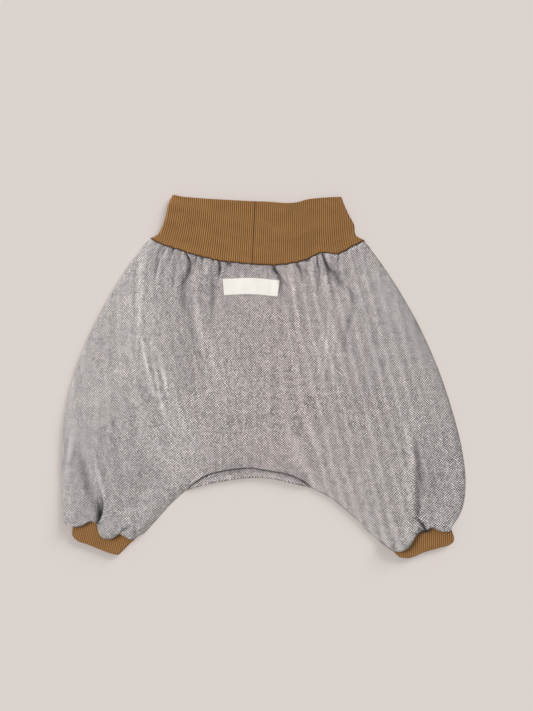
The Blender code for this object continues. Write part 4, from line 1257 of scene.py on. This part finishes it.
def ribbed_tube(name, grid, hollow, free_first, rib_at, row_step, joins, swell, painted_shade_at, look, replaced):
    """A flat rib-knit tube with real ribs above and below, a plain inside and rounded ends, with painted
    shade at its join and its seam.
    """
    fine = np.linspace(0, 1, TUBE_SAMPLES)
    reference = grid(fine, np.linspace(0, 1, 9))
    ribs = round(np.linalg.norm(reference[:, -1] - reference[:, 0], axis=1).max() / RIB_PITCH)
    length = np.linalg.norm(reference[-1] - reference[0], axis=1).mean()
    near = np.array(END_ROWS) / length
    inner_rows = np.linspace(near[-1], 1 - near[-1], round(length / row_step))[1:-1]
    down = np.concatenate([near, inner_rows, (1 - near)[::-1]])
    from_free = (down if free_first else 1 - down) * length
    from_seam = length - from_free
    edge = np.zeros(len(down))
    for distance in (from_free, from_seam):
        short = np.clip(1 - distance / EDGE_RADIUS, 0, 1)
        edge = np.maximum(edge, EDGE_RADIUS * (1 - np.sqrt(1 - short**2)))

    # Once round the tube: the share across and the angle of each point
    radius = RIB_KNIT + hollow / 2
    top = np.linspace(0, 1, ribs * RIB_POINTS + 1)
    under = np.linspace(0, 1, ribs * UNDER_RIB_POINTS + 1)[::-1]
    turn = np.linspace(0, math.pi, TURN_POINTS)[1:-1]
    shares = np.concatenate([top, np.ones(len(turn)), under, np.zeros(len(turn))])
    angles = np.concatenate([
        np.full(len(top), math.pi / 2), math.pi / 2 - turn,
        np.full(len(under), -math.pi / 2), turn - math.pi / 2,
    ])
    upper = angles > 0
    at_fold = RIBS_TO_FOLD * (1 - np.abs(angles) / (math.pi / 2))
    round_fold = at_fold * np.where(shares > 0.5, 1, -1)
    rib_depth = RIB_DEPTH * (1 - FOLD_RIBBING * np.cos(angles))
    raised = RIB_RAISE * np.maximum(np.sin(angles), 0)
    inner_reach = np.full(len(shares), hollow / 2)
    outer, inner, weave = [], [], []
    lines = grid(fine, down)
    from_start = lines[:, TUBE_SAMPLES // 2] - lines[0, TUBE_SAMPLES // 2]
    for j, line in enumerate(lines):
        width = np.linalg.norm(line[-1] - line[0])
        lift = swell(shares, down[j]) * upper * np.sin(math.pi * shares)
        place = (radius + shares * (width - 2 * radius)) / width
        along = [np.interp(place, fine, line[:, i]) for i in (0, 1)]
        phase = rib_at(*along) + round_fold
        ribbing = raised - rib_depth * (1 - rib_profile(phase))
        join_shade = np.ones(len(shares))
        # Each join is a groove with painted shade in it, and a rise beside it
        for join in joins:
            groove = bell(phase - join, JOIN_WIDTH) * upper
            ribbing -= JOIN_DEPTH * groove - JOIN_RISE * bell(phase - join, JOIN_RISE_WIDTH) * upper
            join_shade -= JOIN_PAINTED_SHADE * groove
        middle = radius / width
        even = middle + shares * (1 - 2 * middle)
        for rings, reach in ((outer, radius + ribbing - edge[j]), (inner, inner_reach + edge[j])):
            aside = (radius - reach * np.cos(angles)) / width
            place = np.where(shares == 0, aside, np.where(shares == 1, 1 - aside, even))
            x, y = (np.interp(place, fine, line[:, i]) for i in (0, 1))
            rings.append(np.stack([x, y, radius + reach * np.sin(angles) + lift], axis=1))
        course = np.full(len(shares), np.linalg.norm(from_start[j]) / COURSE)
        # Painted shade at the seam: where it gapes at the waist, and under the cloth's hem at a cuff
        seam_shade = 1 - painted_shade_at(outer[-1][:, 0], from_seam[j])
        weave.append(np.stack([phase, course, join_shade * seam_shade], axis=1))
    outer, inner, weave = np.array(outer), np.array(inner), np.array(weave)
    rows, count = outer.shape[:2]
    i = np.arange(count)
    after = (i + 1) % count
    faces = []
    for first in (0, rows * count):
        for j in range(rows - 1):
            a, b = first + j * count + i, first + j * count + after
            faces.append(np.stack([a, b, b + count, a + count], axis=1)[:, :: 1 if first else -1])
    for j in (0, rows - 1):
        a, b = j * count + i, j * count + after
        ends = np.stack([a, b, b + rows * count, a + rows * count], axis=1)
        faces.append(ends[:, :: 1 if j == 0 else -1])
    vertices = np.concatenate([outer.reshape(-1, 3), inner.reshape(-1, 3)])
    weave = np.concatenate([weave.reshape(-1, 3)] * 2)
    faces = np.concatenate(faces).tolist()
    return put_in_scene(name, vertices, faces, weave, None, look, replaced)


def node(tree, kind, settings=None, inputs=None):
    """A shader node with its settings, and its inputs set or linked."""
    made = tree.nodes.new(kind)
    for key, value in (settings or {}).items():
        setattr(made, key, value)
    for key, value in (inputs or {}).items():
        value = value.socket if isinstance(value, Value) else value
        if isinstance(value, bpy.types.NodeSocket):
            tree.links.new(value, made.inputs[key])
        else:
            made.inputs[key].default_value = value
    return made


def calculated(tree, operation, *values):
    made = node(tree, "ShaderNodeMath", {"operation": operation}, dict(enumerate(values)))
    return Value(tree, made.outputs[0])


class Value:
    """What a shader node gives. Arithmetic on it adds math nodes to its tree."""

    def __init__(self, tree, socket):
        self.tree = tree
        self.socket = socket

    def math(self, operation, *others):
        return calculated(self.tree, operation, self, *others)

    def __add__(self, other):
        return self.math("ADD", other)

    def __sub__(self, other):
        return self.math("SUBTRACT", other)

    def __rsub__(self, other):
        return calculated(self.tree, "SUBTRACT", other, self)

    def __mul__(self, other):
        return self.math("MULTIPLY", other)

    def __truediv__(self, other):
        return self.math("DIVIDE", other)

    def __pow__(self, other):
        return self.math("POWER", other)


def linear(colour):
    return [c / 12.92 if c < 0.04045 else ((c + 0.055) / 1.055) ** 2.4 for c in colour]


def blend(tree, share, first, second, mode="MIX"):
    """Mixes two colours, each a value or the red, green and blue of a screen colour."""
    inputs = {0: share}
    for index, colour in ((6, first), (7, second)):
        inputs[index] = colour if isinstance(colour, Value) else (*linear(colour), 1.0)
    made = node(tree, "ShaderNodeMix", {"data_type": "RGBA", "blend_type": mode}, inputs)
    return Value(tree, made.outputs[2])


def toned(tree, colour, tone):
    """A colour made lighter or darker by a value."""
    made = node(tree, "ShaderNodeCombineXYZ", None, {"X": tone, "Y": tone, "Z": tone})
    return blend(tree, 1.0, colour, Value(tree, made.outputs[0]), "MULTIPLY")


def noise(x, y, scale_x, scale_y, detail, z):
    """Uneven values from 0 to 1 over a plane, finer with a larger scale. Each z has its own pattern."""
    place = node(x.tree, "ShaderNodeCombineXYZ", None, {"X": x * scale_x, "Y": y * scale_y, "Z": z})
    made = node(x.tree, "ShaderNodeTexNoise", None, {
        "Vector": place.outputs[0], "Scale": 1.0, "Detail": detail, "Roughness": 0.55,
    })
    return Value(x.tree, made.outputs["Fac"])


def spread(value, low, high, to_low, to_high, smooth=False):
    """Carries a value from one range to another."""
    kind = {"interpolation_type": "SMOOTHSTEP"} if smooth else None
    made = node(value.tree, "ShaderNodeMapRange", kind, {
        "Value": value, "From Min": low, "From Max": high, "To Min": to_low, "To Max": to_high,
    })
    return Value(value.tree, made.outputs[0])


def coordinates_of(tree, name):
    read = node(tree, "ShaderNodeAttribute", {"attribute_name": name})
    parts = node(tree, "ShaderNodeSeparateXYZ", None, {"Vector": read.outputs["Vector"]})
    return [Value(tree, part) for part in parts.outputs]


def new_material(name, roughness, sheen, sheen_roughness):
    made = bpy.data.materials.new(name)
    made.use_nodes = True
    shader = made.node_tree.nodes["Principled BSDF"]
    shader.inputs["Roughness"].default_value = roughness
    shader.inputs["Specular IOR Level"].default_value = CLOTH_GLOSS
    shader.inputs["Sheen Weight"].default_value = sheen
    shader.inputs["Sheen Roughness"].default_value = sheen_roughness
    return made, made.node_tree, shader


def dress(tree, shader, colour, height, distance, strength):
    """Gives a shader its colour and, as a bump of this distance in millimetres, its fine relief."""
    tree.links.new(colour.socket, shader.inputs["Base Color"])
    made = node(tree, "ShaderNodeBump", None, {
        "Height": height, "Distance": distance * METRES, "Strength": strength,
    })
    tree.links.new(made.outputs[0], shader.inputs["Normal"])


def yarn_roundness(place):
    """Height across one yarn: 1 at its middle, low at its sides."""
    from_middle = place.math("FRACT") - 0.5
    return 1.0 - from_middle * from_middle * 3.2


def wave(place, spacing, wander):
    """A soft wave, from -1 to 1, whose phase wanders."""
    return (place * (2 * math.pi / spacing) + wander).math("SINE")


def woven_material():
    """A hopsack of paired yarns, pale warp over dark weft, with slubs, flecks, and faint stripes, darkened
    by painted shade at each yarn's sides and by the painted shade and light given with the points.
    """
    made, tree, shader = new_material("woven_hopsack", roughness=0.92, sheen=0.22, sheen_roughness=0.5)
    u, v, shade = coordinates_of(tree, "weave")
    across, along, clear = coordinates_of(tree, "streak")
    turns = []
    for place, z in ((u, 4.0), (v, 14.0)):
        wobble = spread(noise(u, v, 0.1, 0.1, 3.0, z), 0.0, 1.0, -2.4, 2.4)
        turns.append(place / YARN + wobble)
    warp, weft = turns
    warp_pair, weft_pair = ((turn * 0.5).math("FLOOR") for turn in turns)
    on_top = ((warp_pair + weft_pair) * 0.5).math("FRACT").math("LESS_THAN", 0.25)
    rounded = node(tree, "ShaderNodeMix", {"data_type": "FLOAT"}, {
        0: on_top, 2: yarn_roundness(weft), 3: yarn_roundness(warp),
    })
    profile = Value(tree, rounded.outputs[0])

    slub = noise(warp.math("FLOOR"), v, 0.7, 0.3, 2.0, 1.0)
    thick = noise(weft.math("FLOOR"), u, 0.7, 0.3, 2.0, 7.0)
    pair = node(tree, "ShaderNodeCombineXYZ", None, {"X": warp_pair, "Y": weft_pair, "Z": 0.0})
    kind = {"noise_dimensions": "2D"}
    flecks = node(tree, "ShaderNodeTexWhiteNoise", kind, {"Vector": pair.outputs[0]})
    fleck = Value(tree, flecks.outputs["Value"])
    pale = blend(tree, slub, *PALE_YARN)
    dark = blend(tree, thick, *DARK_YARN)
    colour = blend(tree, on_top, dark, pale)

    wander = spread(noise(across, along, 0.03, 0.02, 2.0, 5.0), 0.0, 1.0, -2.2, 2.2)
    stripe = (wave(across, STRIPE, wander) * 0.5 + 0.5) ** 2.4 * clear
    patchy = spread(noise(u, v, 0.15, 0.09, 3.0, 3.0), 0.36, 0.64, 0.2, 0.0)
    worn = patchy + stripe * 0.2 + spread(u, -130.0, -30.0, 0.2, 0.0, True)
    colour = blend(tree, worn.math("MINIMUM", 0.4), colour, WORN_YARN)

    check = wave(along, CHECK, wander) * 0.03
    tone = stripe * 0.27 + 0.955 + check * clear + spread(fleck, 0.0, 1.0, -0.32, 0.32)
    for x, y, rows in ((u, v, WEAVE_GRAINS), (across, along, STREAK_GRAINS)):
        for scale_x, scale_y, z, amount in rows:
            grains = noise(x, y, scale_x, scale_y, 2.0, z)
            tone = tone + spread(grains, 0.3, 0.7, -amount, amount)
    # Painted shade at each yarn's sides, and the painted shade and light given with the points
    tone = tone * spread(profile, 0.2, 1.0, 0.78, 1.0) * shade
    tint = (u - 15.0).math("ABSOLUTE") / 110.0 + noise(u, v, 0.06, 0.05, 2.0, 9.0)
    tint = blend(tree, spread(tint, 0.6, 1.4, 0.0, 1.0), *TINTS)
    colour = blend(tree, 1.0, colour, tint, "MULTIPLY")
    dress(tree, shader, toned(tree, colour, tone), profile, distance=0.12, strength=0.6)
    return made


def rib_material():
    """Camel rib knit: little V stitches up each rib, deeper brown in the valleys as painted shade, paler
    crests as a painted highlight, heathered, with painted shade at the join and the seams.
    """
    made, tree, shader = new_material("rib_knit", roughness=0.88, sheen=0.08, sheen_roughness=0.5)
    rib, course, shade = coordinates_of(tree, "weave")
    away = (rib.math("FRACT") * 2.0 - 1.0).math("ABSOLUTE")
    row = course + noise(rib, course, 0.4, 0.25, 2.0, 5.0) * 0.6
    stitch = (row - away * 0.75).math("FRACT")
    leg = spread((stitch - 0.5).math("ABSOLUTE"), 0.5, 0.22, 0.0, 1.0, True)
    height = leg * spread(away, 0.0, 0.22, 0.6, 1.0, True)
    faded = spread(noise(rib, course, 0.06, 0.07, 2.0, 9.0), 0.45, 0.75, 0.0, 0.5)
    crest = spread(away, 1.0, 0.35, 0.0, 1.0, True).math("MAXIMUM", faded)
    heather = spread(noise(rib, course, 3.1, 1.3, 3.0, 2.0), 0.3, 0.7, 0.86, 1.14)
    tone = heather * spread(noise(rib, course, 0.12, 0.1, 2.0, 3.0), 0.3, 0.7, 0.93, 1.07)
    # Painted shade in the valleys between the ribs and between the stitches' legs
    tone = tone * spread(crest, 0.0, 1.0, 0.5, 1.0) * spread(height, 0.0, 1.0, 0.8, 1.0)
    # The valley colour is darker and deeper as painted shade, the crest colour paler as a painted highlight
    colour = blend(tree, crest, *CAMEL)
    # Painted shade at the join and the seams, mixed towards a shaded deep brown, which also deepens the
    # right
    colour = blend(tree, spread(shade, 0.2, 1.0, 0.0, 1.0), SHADED_DEEP_CAMEL, colour)
    dress(tree, shader, toned(tree, colour, tone), height, distance=0.25, strength=0.7)
    return made


def label_material():
    """Cream satin weave with fine cross threads."""
    made, tree, shader = new_material("label_satin", roughness=0.6, sheen=0.15, sheen_roughness=0.4)
    u, v, _ = coordinates_of(tree, "weave")
    ridge = ((v / SATIN_LINE).math("FRACT") * math.pi).math("SINE")
    height = ridge * ((u / SATIN_THREAD).math("FRACT") * 0.3 + 0.7)
    mottle = spread(noise(u, v, 0.9, 1.1, 3.0, 1.0), 0.3, 0.7, 0.0, 1.0)
    dress(tree, shader, blend(tree, mottle, *SATIN), height, distance=0.08, strength=0.5)
    return made


def surface_of(piece):
    mesh = piece.data
    return BVHTree.FromPolygons([v.co for v in mesh.vertices], [f.vertices for f in mesh.polygons])


def height_at(surface, x, y):
    """Height in millimetres of the topmost cloth at a point."""
    place = (np.array((x, y)) - MIDDLE[:2]) * METRES
    hit = surface.ray_cast(Vector((*place, ABOVE_ALL)), Vector((0, 0, -1)))[0]
    return hit.z / METRES


def label_grid():
    across = np.linspace(0, 1, LABEL_COLUMNS)
    down = np.linspace(0, 1, LABEL_LINES)
    top, bottom = curve_through(LABEL_TOP, across), curve_through(LABEL_BOTTOM, across)
    left = top[0] + down[:, None] * (bottom[0] - top[0])
    right = top[-1] + down[:, None] * (bottom[-1] - top[-1])
    return across, down, patch(top, bottom, left, right, across, down)


def label_cloth(surface, look):
    across, down, points = label_grid()
    under = np.array([[height_at(surface, *p) for p in line] for line in points]) + SEAM_GAP
    under = (1 - LABEL_STIFFNESS) * under + LABEL_STIFFNESS * soften(under)
    length = across * LABEL_LENGTH
    to_end = np.minimum(length, LABEL_LENGTH - length)
    fold = smooth_step((to_end - LABEL_FOLD) / -LABEL_FOLD_EDGE)
    crown = np.sin(math.pi * across)[None] * np.sin(math.pi * down)[:, None]
    puff = LABEL_FOLD_RISE * fold[None] + LABEL_CROWN * crown
    rounded = np.minimum(np.minimum(down, 1 - down)[:, None] * LABEL_WIDTH, to_end[None])
    wall = LABEL_CLOTH * (LABEL_EDGE + (1 - LABEL_EDGE) * smooth_step(rounded / LABEL_ROUNDING))
    outer = np.concatenate([points, (under + puff + wall)[..., None]], axis=2)
    inner = np.concatenate([points, (under + puff * 0.5)[..., None]], axis=2)
    weave = np.stack([*np.meshgrid(length, down * LABEL_WIDTH), np.ones(puff.shape)], axis=-1)
    return shell("label_cloth", outer, inner, weave, weave, look, "label"), outer


def soften(height):
    """Each point's mean over a square of five by five."""
    padded = np.pad(height, 2, mode="edge")
    lines, count = height.shape
    total = sum(padded[j:j + lines, i:i + count] for j in range(5) for i in range(5))
    return total / 25


def stitches(name, ends, radius, look):
    """Short sewn stitches as little arched tubes, each between two points."""
    vertices, faces = [], []
    sides = STITCH_SIDES
    ring = np.linspace(0, 2 * math.pi, sides, endpoint=False)
    for start, end in ends:
        start, end = np.array(start), np.array(end)
        along = (end - start) / np.linalg.norm(end - start)
        side = np.cross(along, (0, 0, 1))
        side /= np.linalg.norm(side)
        up = np.cross(side, along)
        first = len(vertices)
        for share in np.linspace(0, 1, sides + 1):
            arch = math.sin(math.pi * share) ** 0.5 if 0 < share < 1 else 0.0
            thick = radius * (STITCH_END + (1 - STITCH_END) * arch)
            risen = arch * radius * STITCH_RISE - radius * STITCH_SINK
            centre = start + (end - start) * share + up * risen
            for a in ring:
                vertices.append(centre + thick * (math.cos(a) * side + math.sin(a) * up))
        for j in range(sides):
            for i in range(sides):
                a, b = first + j * sides + i, first + j * sides + (i + 1) % sides
                faces.append((a, b, b + sides, a + sides))
        faces.append([first + i for i in range(sides - 1, -1, -1)])
        faces.append([first + sides**2 + i for i in range(sides)])
    vertices = np.array(vertices)
    return put_in_scene(name, vertices, faces, vertices, None, look, None)


def label_stitches(outer, look):
    """A row of small stitches down each short end of the label."""
    ends = []
    marks = np.linspace(*STITCH_SPAN, STITCH_MARKS) * (LABEL_LINES - 1)
    for column in (3, LABEL_COLUMNS - 4):
        line = outer[:, column]
        points = np.stack([np.interp(marks, np.arange(LABEL_LINES), line[:, k]) for k in range(3)], axis=1)
        ends += [(points[k], points[k + 1]) for k in range(0, STITCH_MARKS - 1, 2)]
    return stitches("label_stitches", ends, STITCH_RADIUS, look)


def floor_material():
    made = bpy.data.materials.new("plain_floor")
    made.use_nodes = True
    shader = made.node_tree.nodes["Principled BSDF"]
    shader.inputs["Base Color"].default_value = (*linear(FLOOR_COLOUR), 1.0)
    shader.inputs["Roughness"].default_value = 1.0
    shader.inputs["Specular IOR Level"].default_value = 0.0
    return made


def sun(name, strength, angle, direction, receivers, shadows):
    """A soft sun that lights only its receivers."""
    light = bpy.data.lights.new(name, "SUN")
    light.energy = strength
    light.angle = math.radians(angle)
    light.use_shadow = shadows
    lamp = bpy.data.objects.new(name, light)
    lamp.rotation_euler = Vector(direction).to_track_quat("Z", "Y").to_euler()
    lamp.light_linking.receiver_collection = receivers
    bpy.context.scene.collection.objects.link(lamp)


def stage(garment):
    mesh = bpy.data.meshes.new("floor")
    half = FLOOR_HALF
    corners = [(-half, -half, 0), (half, -half, 0), (half, half, 0), (-half, half, 0)]
    mesh.from_pydata(corners, [], [(0, 1, 2, 3)])
    mesh.materials.append(floor_material())
    floor = bpy.data.objects.new("floor", mesh)
    floor.location.z = -FLOOR_DROP
    bpy.context.scene.collection.objects.link(floor)

    world = bpy.data.worlds.new("studio")
    world.use_nodes = True
    tree = world.node_tree
    soft = tree.nodes["Background"]
    soft.inputs["Color"].default_value = (1.0, 1.0, 1.0, 1.0)
    soft.inputs["Strength"].default_value = AMBIENT
    seen = node(tree, "ShaderNodeBackground", None, {"Color": (*linear(BACKDROP_COLOUR), 1.0)})
    rays = node(tree, "ShaderNodeLightPath")
    both = node(tree, "ShaderNodeMixShader", None, {
        0: rays.outputs["Is Camera Ray"], 1: soft.outputs[0], 2: seen.outputs[0],
    })
    tree.links.new(both.outputs[0], tree.nodes["World Output"].inputs["Surface"])
    bpy.context.scene.world = world

    groups = {}
    for title, members in (("garment", garment), ("surface", [floor])):
        groups[title] = bpy.data.collections.new(title)
        for member in members:
            groups[title].objects.link(member)
    for name, strength, angle, direction, group, shadows in SUNS:
        sun(name, strength, angle, direction, groups[group], shadows)

    camera = bpy.data.cameras.new("camera")
    camera.sensor_width = SENSOR
    camera.lens = SENSOR * CAMERA_HEIGHT / FRAME_HEIGHT
    camera.clip_end = 3 * FLOOR_HALF
    eye = bpy.data.objects.new("camera", camera)
    eye.location = (*((np.array(FRAME_CENTRE) - MIDDLE[:2]) * METRES), CAMERA_HEIGHT * METRES)
    bpy.context.scene.collection.objects.link(eye)
    bpy.context.scene.camera = eye
    bpy.context.scene.view_settings.view_transform = "Standard"
    bpy.context.scene.view_settings.look = "None"


def unevenness(amount, waves, start, drift):
    """Soft unevenness of a tube's upper face, at shares across it and a share down it."""
    def height(shares, down):
        return amount * np.sin(shares * waves + start + drift * down) * math.sin(math.pi * down)
    return height


def deeper_on_right(x):
    """The knit is a little deeper in colour on the right."""
    return RIGHT_DEEPER * ramp(x, *RIGHT_DEEPER_SPAN)


def painted_waist_seam_shade(x, from_seam):
    """Painted shade on the waistband at its seam: more at each gather, where the seam gapes."""
    dark = np.full(x.shape, WAIST_SEAM_PAINTED_SHADE[0])
    for place, depth, *_ in PUCKERS:
        dark += GAPING_SEAM_PAINTED_SHADE[0] * min(depth, MOST_PUCKER) * bell(x - place, GAPING_SEAM_PAINTED_SHADE[1])
    return np.minimum(dark, MOST_SEAM_PAINTED_SHADE) * bell(from_seam, WAIST_SEAM_PAINTED_SHADE[1]) + deeper_on_right(x)


# Painted shade on a cuff at its seam, where the cloth's hem lies over it
def painted_cuff_seam_shade(x, from_seam):
    return CUFF_SEAM_PAINTED_SHADE[0] * bell(from_seam, CUFF_SEAM_PAINTED_SHADE[1]) + deeper_on_right(x)


def knit_cuff(name, outline, look):
    return ribbed_tube(
        name + "_knit", lambda shares, down: cuff_grid(outline, shares, down), CUFF_HOLLOW, False,
        lambda x, y: cuff_rib(outline["lean"], x, y), CUFF_ROW, (),
        unevenness(*CUFF_SWELL), painted_cuff_seam_shade, look, name,
    )


def main():
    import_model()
    woven, rib, satin = woven_material(), rib_material(), label_material()
    front = front_cloth(woven)
    back = back_cloth(woven)
    waist = ribbed_tube(
        "waistband_knit", waist_grid, WAIST_HOLLOW, True, waist_rib, WAIST_ROW, (JOIN_RIB,),
        unevenness(*WAIST_SWELL), painted_waist_seam_shade, rib, "waistband",
    )
    cuffs = [knit_cuff(name, outline, rib) for name, outline in CUFFS.items()]
    surface = surface_of(front)
    label, outer = label_cloth(surface, satin)
    thread = label_stitches(outer, satin)
    stage([front, back, waist, *cuffs, label, thread])


main()
